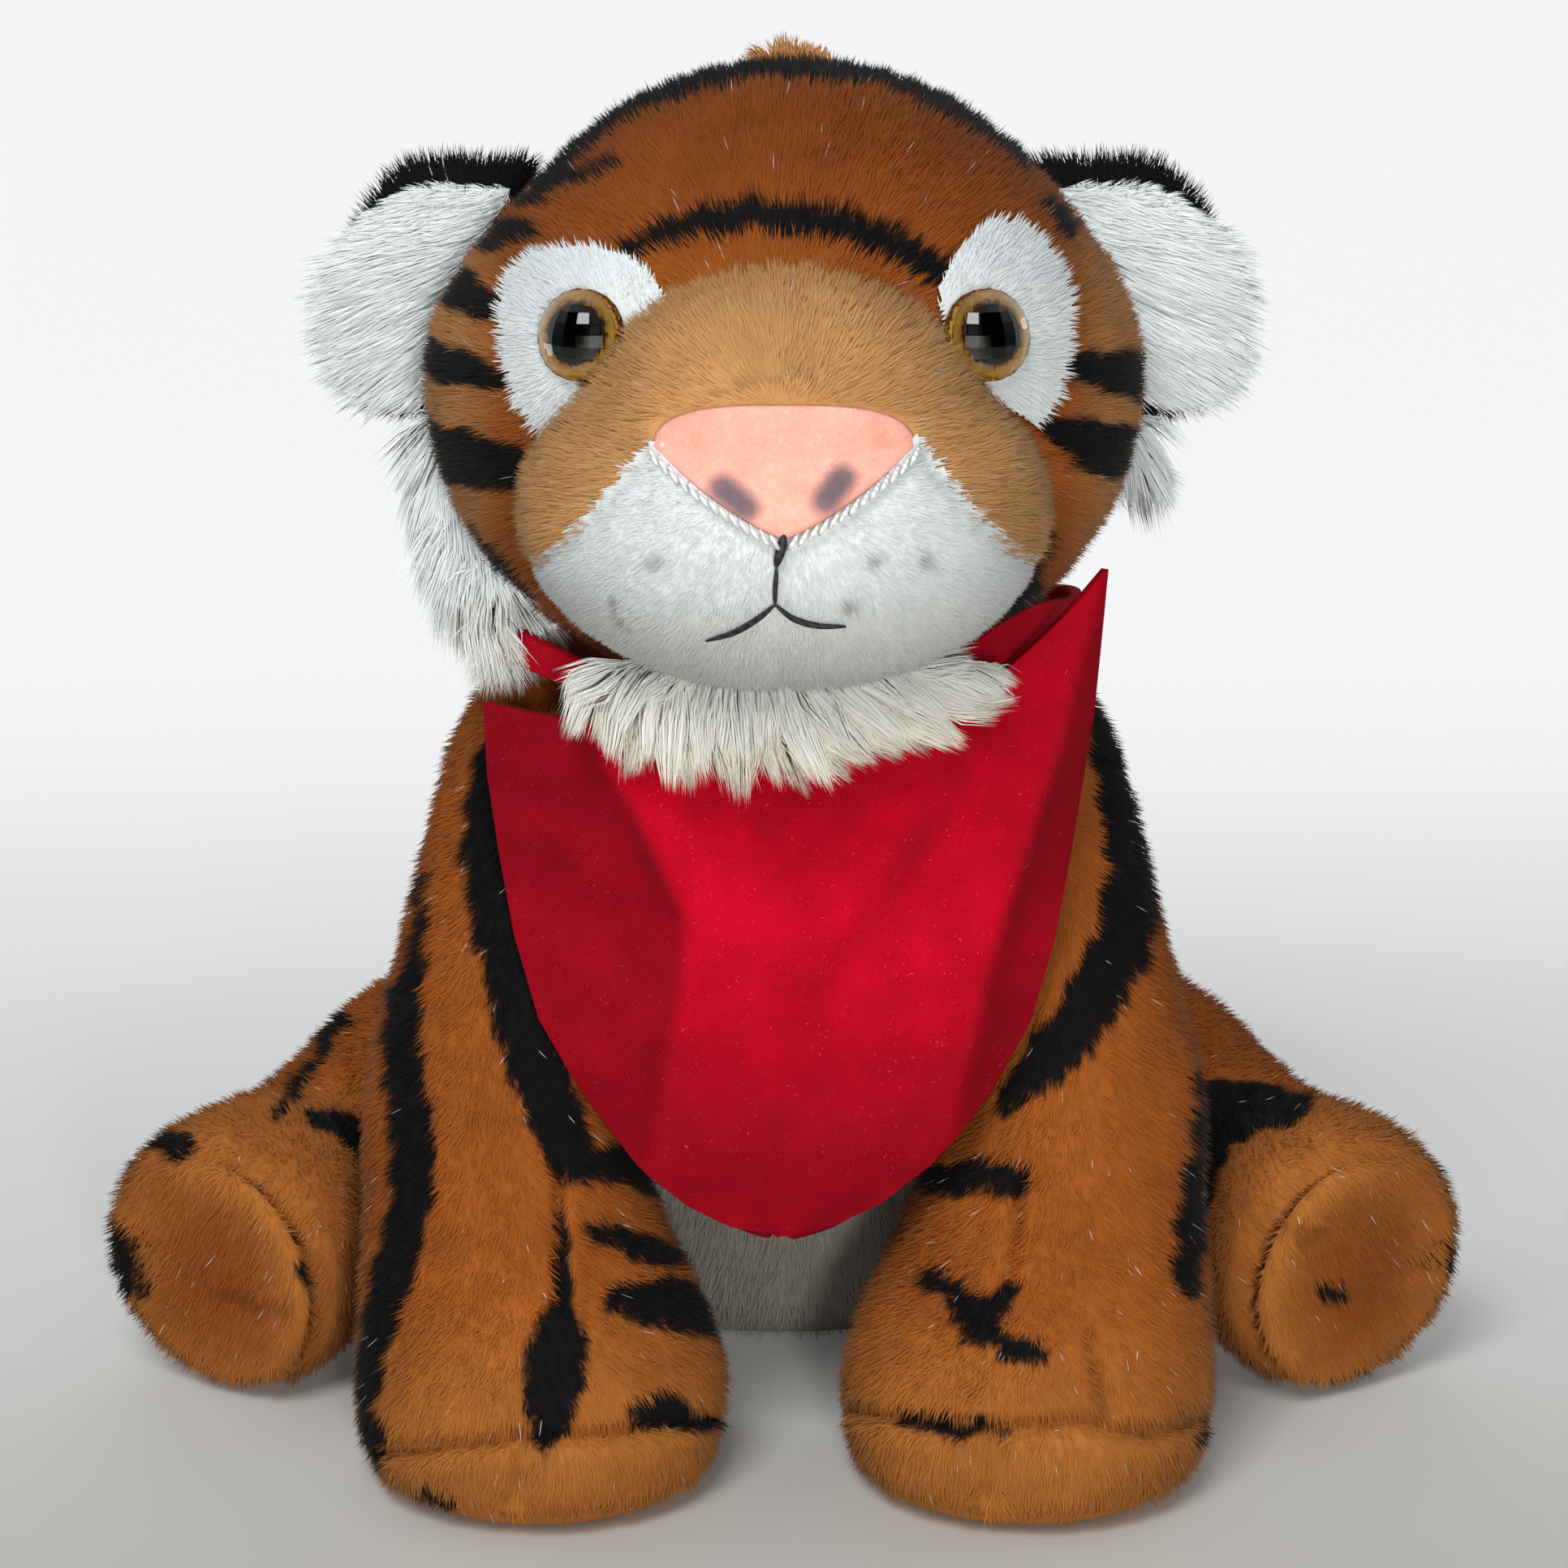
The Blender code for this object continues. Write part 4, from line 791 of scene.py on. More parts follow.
snout_pieces = (
    ("snout_tan_fur", "snout_panel", "tan_fur", snout_paint, plush, is_tan, 0.0028, 4.4, 0.0004),
    ("muzzle_velour_left", "muzzle_left", "white_fur", airbrushed, velour, is_white(-1), 0.0014, 6.5, 0.0),
    ("muzzle_velour_right", "muzzle_right", "white_fur", airbrushed, velour, is_white(1), 0.0014, 6.5, 0.0),
)
for index, (name, replaced, slot, paint, cloth, part, long, close, sunk) in enumerate(snout_pieces):
    made = fur(name, snout_skin(-sunk), paint, cloth, long, math.radians(50), back_and_down, close, PILE_WIDE,
               10 + index, keep=part, where=clear_of_nose)
    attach(made, "head")
    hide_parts(replaced)


# Nose: a pad of pink felt, whip-stitched along its two lower edges with white thread.
# The nostrils are two grey dabs of airbrushed dye.
NOSE_UP, NOSE_THICK, NOSTRIL_CORE, NOSTRIL_RIM = 0.0004, 0.0011, 0.0009, 0.0027


def on_snout(out, height, above=0.0):
    """Points of the snout's front at places seen from straight ahead, by shooting back onto its two ovals."""
    out, height = np.asarray(out, dtype=float), np.asarray(height, dtype=float)
    front = []
    for place, halves in (MUZZLE, BRIDGE):
        wide, deep, tall = halves + above
        room = 1 - ((out - place[0]) / wide) ** 2 - ((height - place[2]) / tall) ** 2
        front.append(place[1] - deep * np.sqrt(np.maximum(room, 0)))
    return np.stack((out, np.minimum(*front), height), axis=-1)


def pad_grid(outline, middle, above, thick, rings=16):
    """A closed pad on the snout: rings shrink from its outline to its middle in front and back again behind.

    The front swells as the fourth root of one minus the share of the way out to the fourth power."""
    share = np.concatenate((np.linspace(0, 1, rings) ** 0.7, np.linspace(1, 0, 5)[1:]))
    lift = np.concatenate((thick * (1 - share[:rings] ** 4) ** 0.25, np.full(4, -0.0006)))
    flat = middle + (outline[None] - middle) * share[:, None, None]
    grid = on_snout(flat[..., 0], flat[..., 1], above)
    ways = (grid - SNOUT_MIDDLE) / np.linalg.norm(grid - SNOUT_MIDDLE, axis=-1)[..., None]
    return grid + ways * lift[:, None, None]


over = NOSE_WIDE * np.cos(np.linspace(0, np.pi, 60))
under = np.linspace(-NOSE_WIDE, NOSE_WIDE, 60)[1:]
heights = np.concatenate((nose_arch(over), nose_edge(under)))
nose_line = np.stack((np.concatenate((over, under)), heights), axis=1)
nose_middle = np.array((0.0, NOSE_TIP + NOSE_RISE - 0.0005))
points, faces = closed_skin(pad_grid(nose_line, nose_middle, NOSE_UP, NOSE_THICK))


def distance(tree, place, centre):
    """How far each place is from a centre."""
    made = node(tree, "VectorMath", [(0, place)], operation="DISTANCE")
    made.inputs[1].default_value = centre
    return made.outputs["Value"]


# Wool felt: matted fibres with no weave, so a fine cloudy colour and a soft uneven face
pink_felt, tree, shader, place = surface("pink_felt", Roughness=0.92, Sheen_Weight=0.15)
fibre = noise(tree, place, 900.0, 4.0, Distortion=1.5)
both = node(tree, "Math", [(0, fibre), (1, noise(tree, place, 160.0, 2.0))], operation="MULTIPLY")
tone = ramp(tree, both.outputs[0], (0.12, "#F0A08E"), (0.42, "#FFBBA8"))
NOSTRILS = ((-0.0078, 0.0062), (-0.0062, 0.0052), (-0.0047, 0.0040), (0.0052, 0.0048), (0.0064, 0.0062),
             (0.0074, 0.0074))
for out, rise in NOSTRILS:
    away = distance(tree, place, on_snout(out, NOSE_TIP + rise, NOSE_UP + NOSE_THICK))
    tone = mixed(tree, ranged(tree, away, NOSTRIL_CORE, NOSTRIL_RIM, 0.85, 0.0), tone, "#5C5560")
tree.links.new(tone, shader.inputs["Base Color"])
lumpy(tree, shader, fibre, 0.35, 0.0004)
nose = mesh_piece("nose_felt", points, faces, pink_felt)
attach(nose, "head")
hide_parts("nose_pad")


# Sewing thread: whip stitches round the nose, and the mouth in black, each stitch a short bowed tube.
def thread(name, paths, radii, material, around=8):
    """Stitches as one mesh: each path gets rings of one radius, drawn to a point at both ends."""
    points, faces, first = [], [], 0
    for path, radius in zip(paths, np.broadcast_to(radii, len(paths))):
        path = np.asarray(path)
        thin = np.sqrt(np.clip(np.sin(np.linspace(0.12, np.pi - 0.12, len(path))), 0.05, 1))[:, None]
        grid = swept(path, np.repeat(radius * thin, 2, axis=1), around)
        own, three = closed_skin(grid)
        points.append(own)
        faces.append(three + first)
        first += len(own)
    return mesh_piece(name, np.concatenate(points), np.concatenate(faces), material)


def twisted(name, light, dark):
    """Two-ply polyester thread: painted light and shade on the crests and grooves of its plies slant along it
    at 0.5 mm.
    """
    made, tree, shader, place = surface(name, Roughness=0.6)
    plies = node(tree, "TexWave", [("Vector", place)], Scale=420.0, bands_direction="DIAGONAL").outputs["Fac"]
    tree.links.new(ramp(tree, plies, (0.0, dark), (1.0, light)), shader.inputs["Base Color"])
    return made


white_thread = twisted("white_thread", "#F4F4F2", "#C9CCCE")
black_thread = twisted("black_thread", "#2A2A2E", "#08080A")
whips = []
for side in (-1, 1):
    for share in np.linspace(0.05, 0.97, 13):
        out = side * NOSE_WIDE * share
        span = np.linspace(-1, 1, 7)
        across = out + side * span * 0.0006 + side * 0.0003
        height = nose_edge(out) - 0.0003 + span * 0.0010
        bow = np.stack((span * 0, -0.0007 * (1 - span**2), span * 0), axis=1)
        whips.append(on_snout(across, height, NOSE_UP + 0.0009) + bow)
stitches = thread("nose_stitches", whips, 0.00032, white_thread)
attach(stitches, "head")


def sewn(line, above, count=40):
    """A path laid on the snout through places seen from straight ahead."""
    rows = eased(line, count)
    return on_snout(rows[:, 0], rows[:, 1], above)


MOUTH_LINES = (
    ((0.0000, 0.1398), (-0.0002, 0.1386), (-0.0006, 0.1372), (-0.0010, 0.1358)),
    ((-0.0009, 0.1360), (-0.0010, 0.1342), (-0.0011, 0.1324), (-0.0011, 0.1305)),
    ((-0.0011, 0.1308), (-0.0032, 0.1288), (-0.0062, 0.1266), (-0.0098, 0.1250)),
    ((-0.0011, 0.1308), (0.0012, 0.1288), (0.0042, 0.1277), (0.0078, 0.1274)),
)
MOUTH_RADII = (0.00068, 0.00034, 0.00040, 0.00042)
mouth = thread("mouth_stitches", [sewn(line, 0.0010) for line in MOUTH_LINES], MOUTH_RADII, black_thread)
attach(mouth, "head")


# Eyes: moulded safety eyes of 12 mm on patches of white short pile.
# Each is a gold-brown disc with a black pupil under a clear dome, and its post is held by a nylon washer.
EYE_OUT, EYE_RISE, EYE_RADIUS, PUPIL_RADIUS = 0.025, 0.012, 0.0060, 0.0034
EYE_SEAT, EYE_FLANGE = 0.0018, 0.0014
PATCH_LINES = {
    "left": ((628, 335), (660, 310), (720, 304), (775, 316), (808, 348), (822, 378), (800, 420), (745, 470),
             (705, 512), (665, 532), (640, 500), (620, 440), (614, 380)),
    "right": ((1158, 352), (1185, 305), (1222, 270), (1262, 276), (1300, 312), (1320, 370), (1318, 430),
              (1305, 488), (1280, 524), (1240, 500), (1190, 450), (1165, 400)),
}


def skull_front(out, height):
    """The point of the skull's front at a place seen from straight ahead, and the way it faces."""
    across, up = out / SKULL_HALVES[0], (height - SKULL_MIDDLE[2]) / SKULL_HALVES[2]
    ahead = math.sqrt(1 - across**2 - up**2)
    way = np.array((across, -ahead, up)) / SKULL_HALVES
    return SKULL_MIDDLE + np.array((across, -ahead, up)) * SKULL_HALVES, way / np.linalg.norm(way)


def within(spots, outline):
    """Whether spots lie inside an outline: the turns toward its corners add up to a full circle."""
    corners = np.array(outline, dtype=float)
    turns = 0
    for start, end in zip(corners, np.roll(corners, -1, axis=0)):
        a, b = start - spots, end - spots
        turns = turns + np.arctan2(a[..., 0] * b[..., 1] - a[..., 1] * b[..., 0], (a * b).sum(-1))
    return np.abs(turns) > np.pi


def ring_material(name, centre):
    """Gold-brown enamel, darker at its rims and flecked outward, round a black pupil.

    The dome is moulded onto it, so no face of its own shines."""
    made, tree, shader, place = surface(name, Roughness=0.6, Specular_IOR_Level=0.0)
    away = distance(tree, place, centre)
    spread = ranged(tree, noise(tree, place, 1800.0, 3.0), 0.3, 0.7, -0.0004, 0.0004)
    far = node(tree, "Math", [(0, away), (1, spread)], operation="ADD")
    share = ranged(tree, far.outputs[0], PUPIL_RADIUS, EYE_RADIUS)
    golds = ((0.0, "#4A3014"), (0.12, "#B08030"), (0.45, "#E8B04A"), (0.85, "#B07C30"), (1.0, "#4A3216"))
    edge = ranged(tree, away, PUPIL_RADIUS - 0.0001, PUPIL_RADIUS)
    tree.links.new(mixed(tree, edge, "#050506", ramp(tree, share, *golds)), shader.inputs["Base Color"])
    return made


# Acrylic, polished in its mould: clear, with faint rub marks
clear_dome, tree, shader, place = surface("clear_acrylic", IOR=1.49, Transmission_Weight=1)
rubs = ranged(tree, noise(tree, place, 700.0, 2.0), 0.0, 1.0, 0.01, 0.06)
tree.links.new(rubs, shader.inputs["Roughness"])

# Nylon: milky and moulded, with a faint flow
nylon, tree, shader, place = surface("moulded_nylon", Roughness=0.5)
tone = ramp(tree, noise(tree, place, 300.0, 2.0), (0.0, "#D8D6CE"), (1.0, "#EAE8E2"))
tree.links.new(tone, shader.inputs["Base Color"])

for side, word in ((-1, "left"), (1, "right")):
    place, way = skull_front(side * EYE_OUT, SKULL_MIDDLE[2] + EYE_RISE)
    disc = place + way * (EYE_SEAT + EYE_FLANGE)

    def on_patch(points, ways, word=word):
        return within(in_photo(points), PATCH_LINES[word]) & (ways[:, 1] < 0)

    def off_eye(points, ways, place=place, way=way):
        away = points - place
        away = away - (away @ way)[:, None] * way
        clear = np.linalg.norm(away, axis=1) > EYE_RADIUS + GAP
        for middle, halves in (MUZZLE, BRIDGE):
            clear &= (((points - middle) / halves) ** 2).sum(axis=1) >= 1
        return clear * 1.0

    def from_eye(points, ways, place=place):
        return points - place

    patch = fur("eye_patch_fur_" + word, head_skin(GAP + 0.0008, 220, 280), plain(WHITE), velour, 0.0019,
                math.radians(35), from_eye, 7.0, 0.00030, 20 + side, keep=on_patch, where=off_eye)
    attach(patch, "head")
    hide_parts("eye_patch_" + word)
    nodes["eye_iris_" + word].material_slots[0].material = ring_material("gold_enamel_" + word, disc)
    nodes["eye_dome_" + word].material_slots[0].material = clear_dome
    nodes["eye_washer_" + word].material_slots[0].material = nylon


# Ears: two flaps, black short plush behind and white shaggy pile in front, sewn into the head's seam.
# The long fibres hang out over the edge, down and a little forward.
EAR_ROOT, EAR_LEAN, EAR_ROLL = (0.0436, 0.005, 0.154), math.radians(10), 0.0028
EAR_REACH, EAR_TALL, EAR_CLOTH = 0.0145, 0.0170, 0.0024


def ear_flap(side, front, back, tall=1.0, inward=0.0, rows=46, around=60):
    """Half an oval beside its root, as a bag of flat level rings: reach is a power of the height's cosine.

    Its upper part also reaches inward, behind the crown."""
    rise = np.sin(np.linspace(-np.pi / 2, np.pi / 2, rows)) * 0.995
    wide = EAR_REACH * np.sqrt(1 - rise**2) ** 0.5 / 2 + 0.0002
    inner = inward * held(rise + 0.2) ** 1.5
    axis = np.array((-side * math.sin(EAR_LEAN), 0, math.cos(EAR_LEAN)))
    out = np.array((side * math.cos(EAR_LEAN), 0, math.sin(EAR_LEAN)))
    middles = np.array(EAR_ROOT) * (side, 1, 1) + axis * rise[:, None] * EAR_TALL * tall
    wide += inner / 2
    middles = middles + out * (EAR_ROLL / 2 + wide[:, None] - inner[:, None])
    middles[:, 1] += (front + back) / 2
    deep = np.full(rows, (back - front) / 2) * (1 - rise**8) ** 0.5
    return swept(middles, np.stack((wide, deep), axis=1), around, level=True)


def tinged(colour, edge, level):
    """A paint that goes from one dye to another toward the ground, over 20 mm round a level."""
    return lambda points, ways: blended(colour, edge, held((level - points[:, 2]) / 0.020 + 0.5))


shag = fur_material("shaggy_pile", 0.05)
for side, word in ((-1, "left"), (1, "right")):
    root = np.array(EAR_ROOT) * (side, 1, 1)

    def from_root(points, ways, root=root):
        return points - root + np.array((0, -0.003, 0.004))

    def combed_out(points, ways, root=root, side=side):
        low = held((root[2] + 0.008 - points[:, 2]) / 0.030)
        return np.stack((low * 0 + side, low * 0 - 0.12, -0.15 - 0.7 * low), axis=1)

    def shorter_above(points, root=root):
        return 0.0085 - 0.0058 * held((points[:, 2] - root[2] - 0.005) / 0.008)

    flap = ear_flap(side, GAP - 0.0008, EAR_CLOTH, 1.03, 0.0075)
    back = fur("ear_back_fur_" + word, flap, plain(BLACK), plush, 0.0036, math.radians(58), from_root, 6.0,
               0.00032, 30 + side)
    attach(back, "ear_" + word)
    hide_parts("ear_back_" + word)
    flap = ear_flap(side, -EAR_CLOTH, -0.0004, 0.86, 0.0050)
    lining = fur("ear_lining_fur_" + word, flap, tinged(WHITE, CREAM, 0.132), shag, shorter_above,
                 math.radians(62), combed_out, 8.0, 0.00026, 34 + side, bend=0.45, clump=0.20)
    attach(lining, "ear_" + word)
    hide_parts("ear_lining_" + word)


# Ruffs: strips of long cream pile under the chin and beside both cheeks, sewn into the head's seams.
# Their fibres clump into pointed tufts that hang over the bib.
RUFF_OUT, RUFF_AHEAD, RUFF_CURVE, RUFF_HEIGHT = 0.027, 0.054, 0.0105, 0.1120
RUFF_HALVES, RUFF_STRAND = (0.0021, 0.0050), 0.00024
share = np.linspace(-1, 1, 50)
path = np.stack((share * RUFF_OUT, RUFF_CURVE * share**2 - RUFF_AHEAD, 0 * share + RUFF_HEIGHT), axis=1)
taper = np.sqrt(1 - (share * 0.96) ** 2)[:, None]


def hang(points, ways):
    """The nap of the ruff: down over the bib, and swept out to the right beyond its middle."""
    x = points[:, 0]
    out = held(x + 0.004) * 90 - held(-x - 0.016) * 40
    return np.stack((out, x * 0 - 0.30, x * 0 - 1), axis=1)


def uneven(points):
    """The ruff is longest left of its middle, in waves of a tuft's width, and shorter toward both ends."""
    x = points[:, 0]
    return 0.0108 - 5.5 * (x + 0.004) ** 2 + (0.0011 * np.sin(x * 900 + 1) + 0.0008 * np.sin(x * 1700))


chin = fur("chin_ruff_fur", swept(path, taper * RUFF_HALVES, 40), tinged(WHITE, CREAM, 0.110), shag, uneven,
           math.radians(72), hang, 7.0, RUFF_STRAND, 40, bend=0.7, clump=0.62)
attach(chin, "head")
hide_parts("chin_ruff")

# At the right the cheek hides all but the seam's upper end, so the ruff is built only there.
CHEEK_SEAM = (
    (0.0470, 0.0040, 0.1370, 0.0020, 0.0020),
    (0.0468, 0.0015, 0.1310, 0.0034, 0.0030),
    (0.0455, -0.0030, 0.1250, 0.0034, 0.0030),
    (0.0420, -0.0120, 0.1190, 0.0034, 0.0030),
    (0.0385, -0.0205, 0.1170, 0.0020, 0.0020),
)
for side, word, rows in ((-1, "left", 5), (1, "right", 2)):
    seam = np.array(CHEEK_SEAM[:rows]) * (side, 1, 1, 1, 1)
    seam = eased(np.column_stack((seam, np.linspace(0, 1, len(seam)))), 34)

    def beside(points, ways, side=side):
        """Down along the cheek's edge, a little outward below the ear and inward from there."""
        high = held((points[:, 2] - 0.124) / 0.010)
        return np.stack((side * (0.35 * high - 0.10), -0.40 + 0.2 * high, -1.0 + 0 * high), axis=1)

    def beside_long(points):
        return 0.0150 - 0.0040 * held((points[:, 2] - 0.122) / 0.010)

    cheek = fur("cheek_ruff_fur_" + word, swept(seam[:, :3], seam[:, 3:5], 30), tinged(WHITE, CREAM, 0.112),
                shag, beside_long, math.radians(76), beside, 9.0, RUFF_STRAND, 42 + side, bend=0.5,
                clump=0.45)
    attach(cheek, "head")
    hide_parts("cheek_ruff_" + word)


# Forelegs: long stuffed legs of short plush, seamed down the front, that end in broad paws.
# A seam draws the toes in, and a suede pad closes the bottom under a small bag of beans.
SHOULDER_HEIGHT, PAW_OUT, PAW_AHEAD, PAW_WIDE, PAW_DEEP = 0.092, 0.033, 0.0455, 0.0248, 0.0255
LEG_BARS, LEG_BAR = 0.0150, 0.0024
# Sandy toes: partly the fur's own colour, partly a painted highlight.
TOE_SAND_AND_HIGHLIGHT = dye("#B87838")
FORELEG_STATIONS = (
    (-0.02, 0.99, 0.98, 0.76, 0.72),
    (0.05, 1.00, 1.00, 0.95, 0.93),
    (0.14, 1.00, 1.00, 1.00, 1.00),
    (0.24, 1.03, 0.97, 0.95, 0.93),
    (0.38, 1.13, 0.78, 0.80, 0.78),
    (0.54, 1.19, 0.58, 0.72, 0.71),
    (0.71, 1.14, 0.38, 0.63, 0.68),
    (0.86, 1.07, 0.19, 0.58, 0.65),
    (0.97, 1.00, 0.06, 0.56, 0.60),
    (1.06, 0.94, 0.04, 0.48, 0.54),
    (1.13, 0.88, 0.04, 0.32, 0.36),
    (1.16, 0.86, 0.04, 0.12, 0.12),
)
FORELEG_LINES = {
    "left": (
        ((612, 915, 16), (600, 1000, 26), (600, 1060, 30), (615, 1150, 31), (640, 1250, 33), (670, 1340, 36),
         (705, 1430, 30)),
        ((526, 1080, 6), (522, 1160, 10), (505, 1230, 20), (500, 1300, 25), (512, 1400, 26), (510, 1480, 26),
         (490, 1560, 26), (465, 1650, 20), (450, 1720, 18), (465, 1795, 15)),
        ((715, 1430, 24), (775, 1432, 28), (830, 1455, 20)),
        ((726, 1512, 12), (775, 1528, 19), (822, 1548, 14)),
        ((762, 1600, 20), (820, 1602, 36), (876, 1628, 20)),
        ((690, 1495, 8), (692, 1600, 15), (686, 1660, 38), (680, 1720, 36), (672, 1765, 20)),
        ((788, 1738, 16), (822, 1735, 26), (866, 1748, 14)),
        ((520, 1838, 10), (552, 1846, 10)),
    ),
    "right": (
        ((1338, 870, 8), (1352, 900, 18), (1375, 970, 28), (1392, 1060, 32), (1380, 1160, 36),
         (1340, 1240, 36), (1295, 1300, 33), (1240, 1355, 14)),
        ((1432, 990, 5), (1450, 1060, 11), (1466, 1140, 12), (1478, 1250, 14), (1478, 1400, 15),
         (1462, 1500, 20), (1456, 1580, 15)),
        ((1158, 1452, 18), (1205, 1444, 23), (1258, 1452, 18)),
        ((1146, 1574, 13), (1178, 1588, 17), (1203, 1632, 22), (1235, 1600, 17), (1246, 1582, 12)),
        ((1205, 1636, 18), (1240, 1655, 15), (1280, 1668, 14)),
        ((1118, 1742, 13), (1165, 1756, 15), (1238, 1757, 7)),
        ((1500, 1730, 12), (1475, 1760, 10)),
    ),
}
TOE_SEAMS = {
    "left": (
        ((470, 1790, 9), (560, 1782, 9), (640, 1772, 9), (760, 1766, 9), (880, 1742, 9)),
        ((690, 1430, 6), (690, 1600, 6)),
        ((645, 1775, 8), (632, 1850, 8)),
    ),
    "right": (
        ((1050, 1735, 9), (1150, 1755, 9), (1240, 1757, 9), (1340, 1752, 9), (1420, 1768, 9),
         (1500, 1735, 9)),
        ((1345, 1640, 7), (1352, 1680, 8), (1372, 1745, 8)),
        ((1255, 1430, 5), (1250, 1560, 5)),
        ((1225, 1760, 8), (1218, 1845, 8)),
    ),
}
SEAM_DEPTH = 0.0022


def drawn_in(grid, lines, depth):
    """A form with seams pulled into its seen side: the depth fades as a bell over the half width."""
    ways = facing(grid)
    spots = in_photo(grid)
    pull = 0
    for line in lines:
        half = line[0][2]
        away = np.maximum(half - reach(spots, line), 0)
        pull = np.maximum(pull, np.exp(-(away / half) ** 2))
    return grid - ways * (pull * depth * in_front(grid, ways))[..., None]


def foreleg_skin(side, word, grow, rows=110, around=120):
    """The leg as level rings from the sole to the shoulder, with its seams drawn in."""
    scale = np.array((side * PAW_OUT, -PAW_AHEAD, SHOULDER_HEIGHT, PAW_WIDE, PAW_DEEP))
    stations = np.array(FORELEG_STATIONS)[:, [1, 2, 0, 3, 4]] * scale + (0, 0, 0, grow, grow)
    stations = eased(stations, rows)
    grid = swept(stations[:, :3], stations[:, 3:], around, level=True)
    grid = drawn_in(grid, TOE_SEAMS[word], SEAM_DEPTH)
    grid[..., 2] = np.maximum(grid[..., 2], GROUND)
    return grid


def leg_down(points, ways):
    """The nap of a foreleg: down to the paw, then forward and outward over the toes."""
    x, _, z = points.T
    low = held(1 - z / 0.045)
    return np.stack((np.sign(x) * (np.abs(x) - PAW_OUT) * 30 * low, -0.9 * low, -1 + 0.5 * low), axis=1)


def leg_paint(word):
    """Orange, sandier over the toes, partly in the fur's dye and partly as a painted highlight, with the
    strokes in front and bars behind.
    """
    def paint(points, ways):
        x, y, z = points.T
        base = blended(ORANGE, TOE_SAND_AND_HIGHLIGHT, np.clip((0.030 - z) / 0.024, 0, 0.75))
        bar = bars(z + 0.0015 * np.sin(x * 220) + y * 0.2, LEG_BARS, LEG_BAR) * (1 - in_front(points, ways))
        bar *= held((z - 0.016) / 0.002)
        return dyed(base, np.maximum(bar, strokes(points, ways, FORELEG_LINES[word])))
    return paint


def foreleg_open(points, ways):
    """No strands on the table, and none inside the torso's cloth under the shoulder."""
    free = (np.abs(points[:, 0]) > 0.028) | (points[:, 2] < 0.075)
    return clear_of_table(points, ways) * thinner_behind(ways) * free


# Suede cloth: brushed microfibre, with a fine nap and a cloudy tone
suede, tree, shader, place = surface("brown_suede_cloth", Roughness=0.9, Sheen_Weight=0.2)
napped = noise(tree, place, 500.0, 4.0)
tree.links.new(ramp(tree, napped, (0.0, "#7E4A20"), (1.0, "#A8703A")), shader.inputs["Base Color"])
lumpy(tree, shader, napped, 0.3, 0.0003)
SOLE_WIDE, SOLE_DEEP, SOLE_CLOTH = 0.0150, 0.0160, 0.0014

for side, word in ((-1, "left"), (1, "right")):
    leg = fur("foreleg_fur_" + word, foreleg_skin(side, word, -SKIN_BELOW), leg_paint(word), plush, PILE,
              PILE_LEAN, leg_down, 4.2, PILE_WIDE, 50 + side, where=foreleg_open)
    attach(leg, "foreleg_" + word)
    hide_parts("foreleg_" + word, "foreleg_bean_bag_" + word)
    levels = np.linspace(0, 1, 8)
    middles = np.stack((levels * 0 + side * PAW_OUT, levels * 0 - PAW_AHEAD, levels * SOLE_CLOTH), axis=1)
    shrink = (1 - 0.06 * levels**4)[:, None] * (1 - 0.03 * (1 - levels[:, None]) ** 6)
    points, faces = closed_skin(swept(middles, shrink * (SOLE_WIDE, SOLE_DEEP), 56, level=True))
    sole = mesh_piece("foreleg_sole_suede_" + word, points, faces, suede)
    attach(sole, "foreleg_" + word)
    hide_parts("foreleg_sole_" + word)


# Hind legs: short stuffed legs that stick out to the sides, with round soles turned to the front.
# Each leg swings on the ball of its thigh, and a dot of black dye marks a claw on the sole.
HIP, THIGH_RADIUS = (0.046, 0.028), 0.025
FOOT, FOOT_WIDE, FOOT_TALL, HIND_BOW = (0.0795, -0.0175, 0.0190), 0.0193, 0.0198, 0.004
HIND_STATIONS = (
    (-0.42, 0.50, 0.48),
    (-0.26, 0.98, 0.96),
    (-0.04, 1.26, 1.24),
    (0.16, 1.18, 1.18),
    (0.34, 0.96, 1.00),
    (0.52, 0.86, 0.90),
    (0.68, 0.95, 0.95),
    (0.82, 1.00, 1.00),
    (0.94, 0.98, 0.98),
    (1.00, 0.86, 0.86),
)
HIND_SOLE, HIND_CLOTH = 0.0150, 0.0014
SOLE_PUFF = ((0.0, 0.98), (0.15, 1.00), (0.5, 0.99), (0.8, 0.95), (0.95, 0.86), (1.0, 0.60), (1.02, 0.30))
HIND_LINES = {
    "left": (
        ((190, 1395, 20), (228, 1412, 16)),
        ((122, 1495, 22), (160, 1560, 26), (185, 1592, 8)),
        ((160, 1655, 9), (208, 1665, 7)),
        ((378, 1722, 26), (445, 1715, 28)),
        ((382, 1370, 7), (430, 1392, 22), (480, 1418, 28)),
        ((345, 1375, 7), (430, 1255, 9)),
    ),
    "right": (
        ((1468, 1372, 42), (1530, 1366, 38), (1592, 1366, 20)),
        ((1480, 1420, 34), (1462, 1520, 18)),
        ((1792, 1540, 16), (1790, 1560, 10)),
        ((1640, 1692, 7), (1722, 1686, 10)),
    ),
}
FOOT_TONE, SOLE_TONE, SOLE_RIM, SHADE = map(dye, ("#AE7034", "#96501A", "#B47032", "#5A2408"))
CREASES = {
    "left": ((262, 1580, 5), (310, 1598, 11), (365, 1612, 6)),
    "right": ((1592, 1500, 8), (1604, 1522, 14), (1628, 1512, 5)),
}
CLAWS = {"left": ((376, 1560, 12), (379, 1576, 10)), "right": ((1628, 1587, 10), (1646, 1586, 10))}


